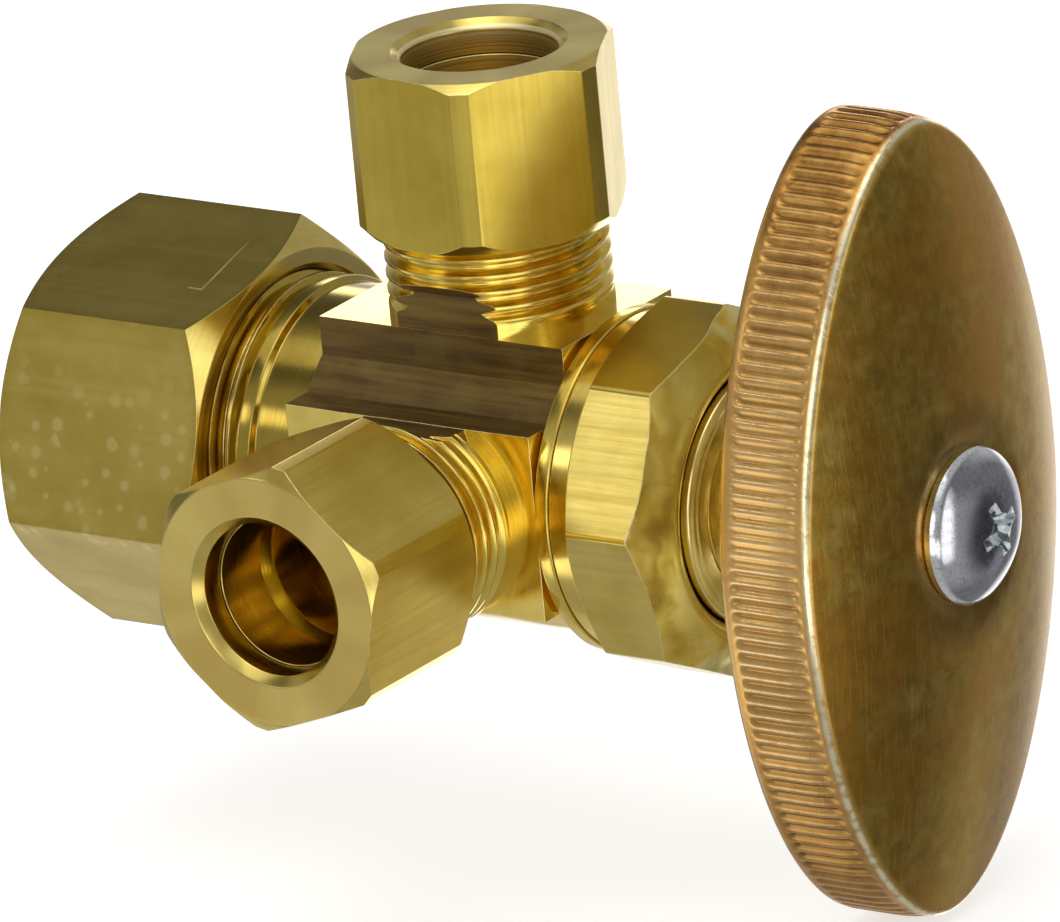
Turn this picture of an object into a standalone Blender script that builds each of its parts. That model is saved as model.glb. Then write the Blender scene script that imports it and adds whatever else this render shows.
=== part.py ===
"""Dual-outlet angle stop valve with a multi-turn oval handle.

Frame: metres, +Z up.  The handle points along +X, the inlet along -X, one outlet
along +Z and the other along -Y.  The origin is the middle of the whole valve's box.
Every piece is modelled about the point where the stem axis and the two outlet axes
cross, and an empty carries them all from there to the frame's origin.
Run with: blender --background --python part.py
"""

import math

import bmesh
import bpy
from mathutils import Matrix, Vector

MM = 0.001

# ---------------------------------------------------------------- driving dimensions
# All in millimetres.  Distances called "axial" run outwards from the axes' crossing.
AXES_CROSSING = (-2.38, 6.685, -0.735)  # from the middle of the valve's box
CLEARANCE = 0.3                 # gap kept between neighbouring pieces
TURN_STEPS = 36                 # facets round a turned piece
SMALL_STEPS = 24                # facets round a small turned piece
HOLE_STEPS = 16                 # facets round a screw hole

ARM_HALF = 6.1                  # half thickness of the body's two arms
HUB_RADIUS = 10.25              # round hub of the body about the stem axis
BLOCK_REACH = 10.5              # arm end faces, from the crossing
BLOCK_LEFT = -9.9               # inlet-side shoulder
BLOCK_RIGHT = 8.66              # handle-side shoulder
WAIST_END = 13.0                # the arms' flats run out here

INLET_TUBE = 15.875             # 5/8 in OD copper tube
INLET_THREAD = 20.64            # 13/16-18
INLET_THREAD_DEPTH = 0.8
OUTLET_TUBE = 9.525             # 3/8 in OD tube
OUTLET_THREAD = 14.29           # 9/16-24
OUTLET_THREAD_DEPTH = 0.6

BONNET_THREAD = 19.4            # outside thread that the bonnet nut screws onto
BONNET_THREAD_DEPTH = 0.4
BODY_FLANGE = 22.0
BODY_END = 13.5                 # handle-side end face of the body
BONNET_NUT_FLATS = 22.65        # octagon
BONNET_NUT_ANGLE = math.radians(41.79)

SEAT_X = -4.4
STEM_PITCH = 1.27               # 20 threads to the inch
HANDLE_HALF_LENGTH = 26.3
HANDLE_HALF_WIDTH = 14.3
HANDLE_OVAL_POWER = 1.82
HANDLE_TILT = math.radians(-4.2)
HANDLE_BACK = 25.2
HANDLE_RIDGE = 31.66
HANDLE_CROWN = 34.3
HANDLE_WALL = 1.4


# ---------------------------------------------------------------- scene and materials
def clear_scene():
    for obj in list(bpy.data.objects):
        bpy.data.objects.remove(obj, do_unlink=True)


def new_collection(name):
    collection = bpy.data.collections.new(name)
    bpy.context.scene.collection.children.link(collection)
    return collection


def material(name, colour, roughness, metallic):
    mat = bpy.data.materials.new(name)
    mat.use_nodes = True
    shader = mat.node_tree.nodes["Principled BSDF"]
    shader.inputs["Base Color"].default_value = (*colour, 1.0)
    shader.inputs["Roughness"].default_value = roughness
    shader.inputs["Metallic"].default_value = metallic
    mat.diffuse_color = (*colour, 1.0)
    return mat


def make_materials():
    return {
        "body": material("body_brass", (0.55, 0.38, 0.10), 0.30, 1.0),
        "nut": material("nut_brass", (0.50, 0.40, 0.13), 0.35, 1.0),
        "ferrule": material("ferrule_brass", (0.62, 0.46, 0.16), 0.25, 1.0),
        "stem": material("stem_brass", (0.58, 0.44, 0.16), 0.25, 1.0),
        "handle": material("handle_bronze", (0.42, 0.24, 0.10), 0.40, 1.0),
        "screw": material("plated_steel", (0.72, 0.73, 0.75), 0.20, 1.0),
        "packing": material("packing_graphite", (0.05, 0.05, 0.05), 0.70, 0.0),
        "rubber": material("seat_rubber", (0.03, 0.03, 0.03), 0.80, 0.0),
        "fibre": material("gasket_fibre", (0.35, 0.12, 0.08), 0.80, 0.0),
    }


# ---------------------------------------------------------------- directions
# Each piece is turned about its own +Z and then laid along one of these.
TOWARDS_HANDLE = Matrix.Rotation(math.radians(90), 4, "Y")
TOWARDS_INLET = Matrix.Rotation(math.radians(-90), 4, "Y")
TOWARDS_TOP = Matrix.Identity(4)
TOWARDS_FRONT = Matrix.Rotation(math.radians(90), 4, "X")


# ---------------------------------------------------------------- modelling helpers
def add_object(name, mesh, collection, mat=None):
    obj = bpy.data.objects.new(name, mesh)
    collection.objects.link(obj)
    if mat is not None:
        mesh.materials.append(mat)
    return obj


def shade_round(mesh):
    mesh.shade_smooth()
    mesh.set_sharp_from_angle(angle=math.radians(30))


def turned(name, outline, direction, collection, mat=None, steps=TURN_STEPS, spin=0.0):
    """Turn an outline of (radius, axial) points in mm about the direction's axis.

    The points run down the outer side first and back up the bore, if there is one.
    An outline that starts and ends at radius 0 makes a solid without a bore.  A cutter
    has a small spin in degrees, so that its facets don't line up with the solid's.
    """
    closed = outline[0][0] > 0
    mesh = bpy.data.meshes.new(name)
    points = [(radius * MM, 0.0, axial * MM) for radius, axial in outline]
    edges = [(i, i + 1) for i in range(len(points) - 1)]
    if closed:
        edges.append((len(points) - 1, 0))
    mesh.from_pydata(points, edges, [])
    obj = add_object(name, mesh, collection, mat)
    screw = obj.modifiers.new("turn", "SCREW")
    screw.axis = "Z"
    screw.angle = math.tau
    screw.steps = steps
    screw.render_steps = steps
    screw.use_merge_vertices = True
    screw.merge_threshold = 0.00001
    screw.use_smooth_shade = False
    obj.matrix_world = direction @ Matrix.Rotation(math.radians(spin), 4, "Z")
    return obj


def prism(name, across_flats, sides, low, high, direction, spin, collection):
    """A hexagonal or octagonal bar between two axial distances, in mm."""
    mesh = bpy.data.meshes.new(name)
    bm = bmesh.new()
    corner = across_flats / 2 / math.cos(math.pi / sides)
    bmesh.ops.create_cone(
        bm,
        cap_ends=True,
        segments=sides,
        radius1=corner * MM,
        radius2=corner * MM,
        depth=(high - low) * MM,
        matrix=Matrix.Translation((0, 0, (high + low) / 2 * MM)),
    )
    # create_cone puts its first corner on +Y
    bmesh.ops.rotate(bm, verts=bm.verts, matrix=Matrix.Rotation(spin - math.pi / 2, 3, "Z"))
    bm.to_mesh(mesh)
    bm.free()
    obj = add_object(name, mesh, collection)
    obj.matrix_world = direction
    return obj


def box(name, low, high, collection):
    """A box from its lowest to its highest corner, in mm."""
    mesh = bpy.data.meshes.new(name)
    bm = bmesh.new()
    bmesh.ops.create_cube(bm, size=1.0)
    size = Vector(high) - Vector(low)
    middle = (Vector(high) + Vector(low)) / 2
    bmesh.ops.scale(bm, verts=bm.verts, vec=size * MM)
    bmesh.ops.translate(bm, verts=bm.verts, vec=middle * MM)
    bm.to_mesh(mesh)
    bm.free()
    return add_object(name, mesh, collection)


def hide_cutter(obj):
    obj.hide_render = True
    obj.display_type = "WIRE"
    return obj


def combine(obj, operation, other):
    hide_cutter(other)
    modifier = obj.modifiers.new(other.name, "BOOLEAN")
    modifier.operation = operation
    modifier.solver = "EXACT"
    modifier.object = other


# ---------------------------------------------------------------- valve body
def arc(centre_angle, half_angle, radius, count):
    """Points on a circle about the stem axis, as (y, z) in mm."""
    start = centre_angle - half_angle
    step = 2 * half_angle / count
    return [
        (radius * math.cos(start + i * step), radius * math.sin(start + i * step))
        for i in range(count + 1)
    ]


def body_outline():
    """The body's cross-section: a round hub with one arm up and one arm forward."""
    notch = math.asin(ARM_HALF / HUB_RADIUS)
    up = math.pi / 2
    forward = math.pi
    points = [(ARM_HALF, BLOCK_REACH), (-ARM_HALF, BLOCK_REACH)]
    between = (up + forward) / 2
    points += arc(between, math.pi / 4 - notch, HUB_RADIUS, 3)
    points += [(-BLOCK_REACH, ARM_HALF), (-BLOCK_REACH, -ARM_HALF)]
    behind = (forward + up + math.tau) / 2
    points += arc(behind, (up + math.tau - forward) / 2 - notch, HUB_RADIUS, 26)
    return points


def body_bar(cutters):
    """The section drawn as a flat curve and given the block's length along X."""
    curve = bpy.data.curves.new("body_bar_outline", "CURVE")
    curve.dimensions = "2D"
    curve.fill_mode = "BOTH"
    curve.extrude = (BLOCK_RIGHT - BLOCK_LEFT) / 2 * MM
    outline = body_outline()
    spline = curve.splines.new("POLY")
    spline.points.add(len(outline) - 1)
    for point, (y, z) in zip(spline.points, outline):
        point.co = (y * MM, z * MM, 0.0, 1.0)
    spline.use_cyclic_u = True
    drawn = bpy.data.objects.new("body_bar_outline", curve)
    cutters.objects.link(drawn)
    # curve x, y, z become world y, z, x
    to_world = Matrix(((0, 0, 1, 0), (1, 0, 0, 0), (0, 1, 0, 0), (0, 0, 0, 1)))
    middle = (BLOCK_RIGHT + BLOCK_LEFT) / 2 * MM
    drawn.matrix_world = Matrix.Translation((middle, 0, 0)) @ to_world
    bpy.context.view_layer.update()
    depsgraph = bpy.context.evaluated_depsgraph_get()
    mesh = bpy.data.meshes.new_from_object(drawn.evaluated_get(depsgraph))
    bm = bmesh.new()
    bm.from_mesh(mesh)
    bmesh.ops.remove_doubles(bm, verts=bm.verts, dist=0.000001)
    bmesh.ops.transform(bm, matrix=drawn.matrix_world, verts=bm.verts)
    bmesh.ops.recalc_face_normals(bm, faces=bm.faces)
    bm.to_mesh(mesh)
    bm.free()
    bpy.data.objects.remove(drawn, do_unlink=True)
    return mesh


def inlet_neck(cutters):
    root = INLET_THREAD / 2 - INLET_THREAD_DEPTH
    crest = INLET_THREAD / 2
    outline = [
        (0, 26.2), (root - 0.15, 26.2), (root, 25.9), (root, 14.6), (crest, 14.2),
        (crest, 13.5), (9.9, 13.2), (9.9, 8.0), (0, 8.0),
    ]
    return turned("inlet_neck", outline, TOWARDS_INLET, cutters, spin=1.3)


def bonnet_neck(cutters):
    root = BONNET_THREAD / 2 - BONNET_THREAD_DEPTH
    flange = BODY_FLANGE / 2
    outline = [
        (0, BODY_END), (root - 0.3, BODY_END), (root, BODY_END - 0.4), (root, 9.73),
        (flange, 9.73), (flange, BLOCK_RIGHT - 0.01), (7.0, 7.0), (0, 7.0),
    ]
    return turned("bonnet_neck", outline, TOWARDS_HANDLE, cutters, spin=2.1)


def outlet_neck(name, direction, cutters):
    root = OUTLET_THREAD / 2 - OUTLET_THREAD_DEPTH
    crest = OUTLET_THREAD / 2
    outline = [
        (0, 22.3), (root - 0.3, 22.3), (root, 21.8), (root, 12.2), (crest, 11.8),
        (crest, 10.3), (5.5, 8.0), (0, 8.0),
    ]
    return turned(name, outline, direction, cutters, spin=1.7)


def inlet_passage(cutters):
    socket = INLET_TUBE / 2 + 0.15
    outline = [
        (0, 27.2), (socket + 1.25, 27.2), (socket, 23.4), (socket, 15.0), (5.2, 13.2),
        (5.2, 7.8), (3.6, 6.4), (3.6, 2.0), (0, 2.0),
    ]
    return turned("inlet_passage", outline, TOWARDS_INLET, cutters, spin=3.1)


def chamber(cutters):
    """The stem's chamber, with the raised seat at its closed end."""
    outline = [
        (0, BODY_END + 1.0), (6.7, BODY_END + 1.0), (6.7, SEAT_X - 0.7),
        (5.0, SEAT_X - 0.7), (4.5, SEAT_X), (0, SEAT_X),
    ]
    return turned("chamber", outline, TOWARDS_HANDLE, cutters, spin=0.7)


def outlet_passage(name, direction, cutters):
    socket = OUTLET_TUBE / 2 + 0.12
    outline = [
        (0, 23.0), (socket + 1.16, 23.0), (socket, 20.0), (socket, 14.5), (2.9, 13.0),
        (2.9, 1.0), (0, 1.0),
    ]
    return turned(name, outline, direction, cutters, steps=SMALL_STEPS, spin=4.3)


def arm_flats(cutters):
    """Boxes that flatten both sides of each round neck up to the waist's end."""
    flats = []
    reach = 9.0
    low = BLOCK_REACH - 1.5
    for side in (-1, 1):
        near, far = sorted((side * (ARM_HALF + 0.03), side * reach))
        flats.append(box(f"top_flat_{side}", (-5, near, low), (5, far, WAIST_END), cutters))
        flats.append(box(f"front_flat_{side}", (-5, -WAIST_END, near), (5, -low, far), cutters))
    return flats


def valve_body(parts, cutters, mats):
    body = add_object("valve_body", body_bar(cutters), parts, mats["body"])
    combine(body, "UNION", inlet_neck(cutters))
    combine(body, "UNION", bonnet_neck(cutters))
    combine(body, "UNION", outlet_neck("top_neck", TOWARDS_TOP, cutters))
    combine(body, "UNION", outlet_neck("front_neck", TOWARDS_FRONT, cutters))
    combine(body, "DIFFERENCE", inlet_passage(cutters))
    combine(body, "DIFFERENCE", chamber(cutters))
    combine(body, "DIFFERENCE", outlet_passage("top_passage", TOWARDS_TOP, cutters))
    combine(body, "DIFFERENCE", outlet_passage("front_passage", TOWARDS_FRONT, cutters))
    for flat in arm_flats(cutters):
        combine(body, "DIFFERENCE", flat)
    shade_round(body.data)
    return body


# ---------------------------------------------------------------- compression joints
def nut(name, size, direction, parts, cutters, mats):
    """A compression nut: a turned blank with chamfers and bores, cut to a hexagon.

    Its inner end is open over the neck's thread; its outer end has the tube hole.
    """
    inner, outer = size["inner_end"], size["outer_end"]
    corner = size["flats"] / 2 / math.cos(math.pi / 6)
    blank = corner - size["corner_round"]
    rim = size["rim_radius"]
    thread = size["thread"] / 2 - size["thread_depth"] + CLEARANCE
    hole = size["tube"] / 2 + 0.2
    outline = [
        (rim, outer),
        (blank, outer - size["outer_chamfer"]),
        (blank, inner + size["inner_chamfer"]),
        (rim, inner),
        (thread + 0.7, inner),
        (thread, inner + 0.8),
        (thread, outer - size["wall"] - size["cone"]),
        (hole, outer - size["wall"]),
        (hole, outer - 0.6),
        (hole + 0.6, outer),
    ]
    obj = turned(name, outline, direction, parts, mats["nut"])
    hexagon = prism(
        name + "_hexagon", size["flats"], 6, inner - 1, outer + 1, direction, size["spin"], cutters
    )
    combine(obj, "INTERSECT", hexagon)
    shade_round(obj.data)
    return obj


def ferrule(name, size, direction, parts, mats):
    """A brass compression ring, tapered at both ends."""
    inside = size["tube"] / 2 + 0.1
    middle = size["ring_radius"]
    low, high = size["ring_low"], size["ring_high"]
    taper = size["ring_taper"]
    outline = [
        (inside + 0.1, high), (middle, high - taper), (middle, low + taper), (inside + 0.1, low),
        (inside, low), (inside, high),
    ]
    obj = turned(name, outline, direction, parts, mats["ferrule"], steps=SMALL_STEPS)
    shade_round(obj.data)
    return obj


def inlet_size():
    return {
        "flats": 23.8125, "spin": math.radians(180 - 74.51 - 90), "tube": INLET_TUBE,
        "thread": INLET_THREAD, "thread_depth": INLET_THREAD_DEPTH, "corner_round": 0.25,
        "rim_radius": 11.8, "inner_end": 16.4, "outer_end": 31.9, "inner_chamfer": 1.3,
        "outer_chamfer": 1.2, "wall": 3.2, "cone": 1.6,
        "ring_low": 24.6, "ring_high": 28.4, "ring_radius": 8.85, "ring_taper": 1.8,
    }


def outlet_size(spin):
    return {
        "flats": 15.875, "spin": spin, "tube": OUTLET_TUBE,
        "thread": OUTLET_THREAD, "thread_depth": OUTLET_THREAD_DEPTH, "corner_round": 0.22,
        "rim_radius": 8.05, "inner_end": 16.4, "outer_end": 27.7, "inner_chamfer": 1.1,
        "outer_chamfer": 0.65, "wall": 2.2, "cone": 1.3,
        "ring_low": 21.3, "ring_high": 25.2, "ring_radius": 5.75, "ring_taper": 1.5,
    }


# ---------------------------------------------------------------- bonnet
def bonnet_nut(parts, cutters, mats):
    """The octagonal nut that holds the bonnet down on the body."""
    corner = BONNET_NUT_FLATS / 2 / math.cos(math.pi / 8)
    thread = BONNET_THREAD / 2 - BONNET_THREAD_DEPTH + CLEARANCE
    skirt = BODY_FLANGE / 2 - 0.1
    outline = [
        (9.3, 18.3), (11.0, 16.52), (corner + 0.2, 16.5), (corner + 0.2, 12.3),
        (skirt, 11.3), (skirt, 10.14), (thread, 10.14), (thread, 16.4), (8.45, 16.4),
        (8.45, 17.3), (9.1, 18.3),
    ]
    obj = turned("bonnet_nut", outline, TOWARDS_HANDLE, parts, mats["nut"])
    octagon = prism(
        "bonnet_nut_octagon", BONNET_NUT_FLATS, 8, 9.0, 19.0, TOWARDS_HANDLE,
        BONNET_NUT_ANGLE, cutters,
    )
    combine(obj, "INTERSECT", octagon)
    shade_round(obj.data)
    return obj


def bonnet(parts, mats):
    """The round insert that guides the stem and holds its packing."""
    outline = [
        (7.5, 18.75), (8.15, 18.45), (8.15, 16.1), (9.15, 16.1), (9.15, 14.9), (6.35, 14.9),
        (6.35, 5.9), (5.2, 5.9), (5.2, 12.6), (4.2, 12.9), (4.2, 13.7), (6.2, 13.7),
        (6.2, 18.75),
    ]
    obj = turned("bonnet", outline, TOWARDS_HANDLE, parts, mats["stem"], steps=40)
    shade_round(obj.data)
    return obj


def ring(name, bore, outside, low, high, parts, mat):
    outline = [(outside, high), (outside, low), (bore, low), (bore, high)]
    obj = turned(name, outline, TOWARDS_HANDLE, parts, mat, steps=SMALL_STEPS)
    shade_round(obj.data)
    return obj


def bonnet_rings(parts, mats):
    ring("bonnet_gasket", 6.9, 8.9, BODY_END + CLEARANCE, 14.6, parts, mats["fibre"])
    ring("packing_washer", 4.2, 5.9, 14.0, 14.6, parts, mats["ferrule"])
    ring("stem_packing", 4.2, 5.9, 14.9, 17.0, parts, mats["packing"])
    ring("packing_gland", 4.2, 5.9, 17.3, 18.4, parts, mats["stem"])


# ---------------------------------------------------------------- stem
def stem(parts, cutters, mats):
    """The threaded spindle, from the washer disc to the squared handle end."""
    outline = [
        (0, 31.6), (3.0, 31.6), (3.3, 31.2), (3.3, 21.9), (3.9, 21.6), (3.9, 8.9), (4.9, 8.6),
        (4.9, 2.9), (4.4, 2.6), (3.4, 2.6), (3.4, 0.4), (5.6, 0.4), (5.6, -1.6), (0, -1.6),
    ]
    obj = turned("stem", outline, TOWARDS_HANDLE, parts, mats["stem"], steps=SMALL_STEPS)
    screw_hole = [(0, 33.0), (1.9, 33.0), (1.9, 26.0), (0, 24.8)]
    washer_hole = [(0, 3.6), (1.6, 2.6), (1.6, -2.4), (0, -2.4)]
    for hole_name, hole in (("handle_screw_hole", screw_hole), ("washer_screw_hole", washer_hole)):
        cutter = turned(hole_name, hole, TOWARDS_HANDLE, cutters, steps=HOLE_STEPS, spin=5.0)
        combine(obj, "DIFFERENCE", cutter)
    square_end(obj, cutters)
    shade_round(obj.data)
    return obj


def square_end(obj, cutters):
    """Four flats on the stem's end, which the handle's hub fits over."""
    flat = 2.85
    for index in range(4):
        cutter = box(f"stem_flat_{index}", (22.1, flat, -4), (33, 5, 4), cutters)
        turn = Matrix.Rotation(HANDLE_TILT + index * math.pi / 2, 4, "X")
        cutter.matrix_world = turn
        combine(obj, "DIFFERENCE", cutter)


def seat_washer(parts, mats):
    outline = [(5.4, -1.9), (5.4, -3.8), (5.1, -4.1), (1.6, -4.1), (1.6, -1.9)]
    obj = turned("seat_washer", outline, TOWARDS_HANDLE, parts, mats["rubber"], steps=SMALL_STEPS)
    shade_round(obj.data)
    return obj


def slot(name, centre, size, direction, cutters):
    low = [c - s / 2 for c, s in zip(centre, size)]
    high = [c + s / 2 for c, s in zip(centre, size)]
    cutter = box(name, low, high, cutters)
    cutter.matrix_world = direction
    return cutter


def seat_washer_screw(parts, cutters, mats):
    """A pan-head screw that holds the seat washer to the stem."""
    outline = [(0, 2.0), (1.3, 2.0), (1.3, -4.4), (2.5, -4.4), (2.5, -5.3), (2.0, -5.8), (0, -5.8)]
    obj = turned("seat_washer_screw", outline, TOWARDS_HANDLE, parts, mats["stem"], steps=20)
    cutter = slot("washer_screw_slot", (0, 0, -5.8), (0.7, 6.0, 1.2), TOWARDS_HANDLE, cutters)
    combine(obj, "DIFFERENCE", cutter)
    shade_round(obj.data)
    return obj


# ---------------------------------------------------------------- handle
def circle_point(turn, radius):
    return Vector((math.cos(turn), math.sin(turn))) * radius


def oval_point(turn, inset):
    """A point on the handle's superellipse, set in from its widest outline."""
    power = 2 / HANDLE_OVAL_POWER
    across, along = math.cos(turn), math.sin(turn)
    return Vector((
        math.copysign(abs(across) ** power, across) * (HANDLE_HALF_WIDTH - inset),
        math.copysign(abs(along) ** power, along) * (HANDLE_HALF_LENGTH - inset),
    ))


def handle_loops():
    """The loops of the handle's skin, as (inset, share, circle radius, axial).

    A loop lies the given share of the way from the inset oval to the circle.  The loops
    run from the back rim over the crown, down the screw hole and the stem socket, and
    back along the hollow underside.
    """
    screw_hole, socket, hub = 2.4, 3.6, 5.6
    hub_back = 22.2
    ridge_inset = 1.3
    rise = HANDLE_CROWN - HANDLE_RIDGE
    rim = [(0.9, HANDLE_BACK), (0.1, HANDLE_BACK + 0.5), (0.0, HANDLE_BACK + 1.8),
           (0.35, HANDLE_RIDGE - 1.06), (0.75, HANDLE_RIDGE - 0.25), (ridge_inset, HANDLE_RIDGE)]
    loops = [(inset, 0.0, 0.0, axial) for inset, axial in rim]
    shares = (0.25, 0.5, 0.75, 1.0)
    crown = [(share, HANDLE_RIDGE + rise * (1 - (1 - share) ** 2)) for share in shares]
    loops += [(ridge_inset, share, screw_hole, axial) for share, axial in crown]
    loops += [(0.0, 1.0, screw_hole, HANDLE_CROWN - 1.7), (0.0, 1.0, socket, HANDLE_CROWN - 1.9),
              (0.0, 1.0, socket, hub_back), (0.0, 1.0, hub, hub_back)]
    under_inset = ridge_inset + HANDLE_WALL
    under = [(under_inset, share, hub, axial - HANDLE_WALL) for share, axial in crown[2::-1]]
    loops.append((0.0, 1.0, hub, under[0][3] + 0.2))
    loops += under
    loops.append((under_inset, 0.0, 0.0, HANDLE_RIDGE - HANDLE_WALL))
    loops.append((HANDLE_WALL, 0.0, 0.0, HANDLE_BACK + 0.6))
    return loops


def handle(parts, mats):
    """The oval handwheel: a dished shell with a rolled rim and a hub over the stem.

    It is a loft between ovals and circles, which no primitive makes.
    """
    steps = 48
    bm = bmesh.new()
    loops = []
    for inset, share, radius, axial in handle_loops():
        loop = []
        for i in range(steps):
            turn = math.tau * i / steps
            point = oval_point(turn, inset).lerp(circle_point(turn, radius), share)
            loop.append(bm.verts.new((point.x * MM, point.y * MM, axial * MM)))
        loops.append(loop)
    for loop, following in zip(loops, loops[1:] + loops[:1]):
        for i in range(steps):
            j = (i + 1) % steps
            bm.faces.new((loop[i], loop[j], following[j], following[i]))
    bmesh.ops.recalc_face_normals(bm, faces=bm.faces)
    mesh = bpy.data.meshes.new("handle")
    bm.to_mesh(mesh)
    bm.free()
    obj = add_object("handle", mesh, parts, mats["handle"])
    # the oval's width starts along Y and its length along Z, before the tilt
    width_along_y = Matrix.Rotation(math.radians(90), 4, "Z")
    obj.matrix_world = Matrix.Rotation(HANDLE_TILT, 4, "X") @ TOWARDS_HANDLE @ width_along_y
    shade_round(obj.data)
    return obj


def handle_screw(parts, cutters, mats):
    """A truss-head screw with a cross recess."""
    head = 5.0
    base = 34.6
    dome = 2.1
    rise = []
    for i in range(6):
        angle = math.radians(90 - 15 * i)
        rise.append((head * math.cos(angle), base + dome * math.sin(angle)))
    outline = rise + [(head, base + 0.1), (head - 0.2, base), (1.6, base), (1.6, 27.0), (0, 26.6)]
    outline[0] = (0, base + dome)
    obj = turned("handle_screw", outline, TOWARDS_HANDLE, parts, mats["screw"], steps=SMALL_STEPS)
    centre = (0, 0, base + dome)
    for index in range(2):
        cutter = slot(f"cross_slot_{index}", centre, (0.9, 4.6, 1.8), TOWARDS_HANDLE, cutters)
        spin = Matrix.Rotation(math.radians(20 + 90 * index), 4, "X")
        cutter.matrix_world = spin @ TOWARDS_HANDLE
        combine(obj, "DIFFERENCE", cutter)
    shade_round(obj.data)
    return obj


# ---------------------------------------------------------------- assembly
def carry_to_frame(collections):
    """Parent every piece and cutter to an empty at the axes' crossing."""
    crossing = bpy.data.objects.new("axes_crossing", None)
    crossing.location = Vector(AXES_CROSSING) * MM
    bpy.context.scene.collection.objects.link(crossing)
    for collection in collections:
        for obj in collection.objects:
            obj.parent = crossing


def build():
    clear_scene()
    parts = new_collection("angle_stop_valve")
    cutters = new_collection("cutters")
    mats = make_materials()
    valve_body(parts, cutters, mats)

    inlet = inlet_size()
    top = outlet_size(math.radians(-3.98))
    front = outlet_size(math.radians(19.59))
    nut("inlet_nut", inlet, TOWARDS_INLET, parts, cutters, mats)
    ferrule("inlet_ferrule", inlet, TOWARDS_INLET, parts, mats)
    nut("top_outlet_nut", top, TOWARDS_TOP, parts, cutters, mats)
    ferrule("top_outlet_ferrule", top, TOWARDS_TOP, parts, mats)
    nut("front_outlet_nut", front, TOWARDS_FRONT, parts, cutters, mats)
    ferrule("front_outlet_ferrule", front, TOWARDS_FRONT, parts, mats)

    bonnet_nut(parts, cutters, mats)
    bonnet(parts, mats)
    bonnet_rings(parts, mats)
    stem(parts, cutters, mats)
    seat_washer(parts, mats)
    seat_washer_screw(parts, cutters, mats)
    handle(parts, mats)
    handle_screw(parts, cutters, mats)
    carry_to_frame((parts, cutters))


build()
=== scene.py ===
"""Looks for the dual-outlet angle stop valve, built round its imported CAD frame.

Shapes are written in millimetres about the point where the stem axis and the outlet
axes cross.  "Axial" runs outwards from that point along a piece's own axis.
"""
import math

import bmesh
import bpy
import numpy as np
from mathutils import Matrix, Quaternion, Vector, noise


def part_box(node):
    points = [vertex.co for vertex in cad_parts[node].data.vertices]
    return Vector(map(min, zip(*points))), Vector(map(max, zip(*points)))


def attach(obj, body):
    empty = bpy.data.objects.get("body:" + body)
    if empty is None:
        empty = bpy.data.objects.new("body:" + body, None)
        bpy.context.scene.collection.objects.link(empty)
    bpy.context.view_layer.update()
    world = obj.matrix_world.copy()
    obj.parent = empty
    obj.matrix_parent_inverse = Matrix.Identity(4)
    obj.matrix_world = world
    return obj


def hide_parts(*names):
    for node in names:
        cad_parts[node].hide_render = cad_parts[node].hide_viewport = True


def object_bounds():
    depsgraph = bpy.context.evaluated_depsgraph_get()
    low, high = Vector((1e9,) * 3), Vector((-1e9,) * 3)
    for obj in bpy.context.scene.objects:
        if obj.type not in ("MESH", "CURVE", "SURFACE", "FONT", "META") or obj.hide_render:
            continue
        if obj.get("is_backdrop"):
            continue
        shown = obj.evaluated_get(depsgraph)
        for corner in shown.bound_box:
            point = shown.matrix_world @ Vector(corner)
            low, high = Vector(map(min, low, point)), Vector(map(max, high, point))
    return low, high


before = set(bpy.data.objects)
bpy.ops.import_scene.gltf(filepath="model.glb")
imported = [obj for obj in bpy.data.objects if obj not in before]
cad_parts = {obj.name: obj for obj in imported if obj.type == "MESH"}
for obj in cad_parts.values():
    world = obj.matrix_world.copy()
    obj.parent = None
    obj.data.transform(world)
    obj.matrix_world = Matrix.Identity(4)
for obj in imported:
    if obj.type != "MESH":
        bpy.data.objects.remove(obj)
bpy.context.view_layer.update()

MM = 0.001


def box_middle(node):
    low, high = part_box(node)
    return (low + high) / 2


CROSSING = Vector((box_middle("top_outlet_nut").x, *box_middle("stem").yz))
TO_CROSSING = Matrix.Translation(CROSSING)
TOWARDS_HANDLE = TO_CROSSING @ Matrix.Rotation(math.radians(90), 4, "Y")
TOWARDS_INLET = TO_CROSSING @ Matrix.Rotation(math.radians(-90), 4, "Y")
TOWARDS_TOP = TO_CROSSING.copy()
TOWARDS_FRONT = TO_CROSSING @ Matrix.Rotation(math.radians(90), 4, "X")

# ---- sizes, in millimetres
ROUND_STEPS = 180
THREAD_STEPS = 144
THREAD_SAMPLES = 12

BAR_HALF = 6.1
HUB_RADIUS = 10.05
BLOCK_REACH = 10.5
BLOCK_LEFT = -9.9
BLOCK_RIGHT = 8.66
WAIST_END = 13.0

INLET_PITCH = 25.4 / 18
OUTLET_PITCH = 25.4 / 24
STEM_PITCH = 1.27
INLET_CREST = 10.32
OUTLET_CREST = 7.145
THREAD_SHARE = 0.6
THREAD_GAP = 0.14
SOFT_EDGE = 0.06

HANDLE_HALF_LENGTH = 25.86
HANDLE_HALF_WIDTH = 14.4
HANDLE_POWER = 1.85
HANDLE_TILT = math.radians(-3.84)
EDGE_ROUND = 0.85
EDGE_TURN = math.radians(66)
HANDLE_CROWN = 34.3
HANDLE_WALL = 1.4
DISH_DEPTH = 0.25
DISH_RADIUS = 6.2
DISH_ABOVE = 33.0
KNURL_DEPTH = 0.24
KNURLS = 140

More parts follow.
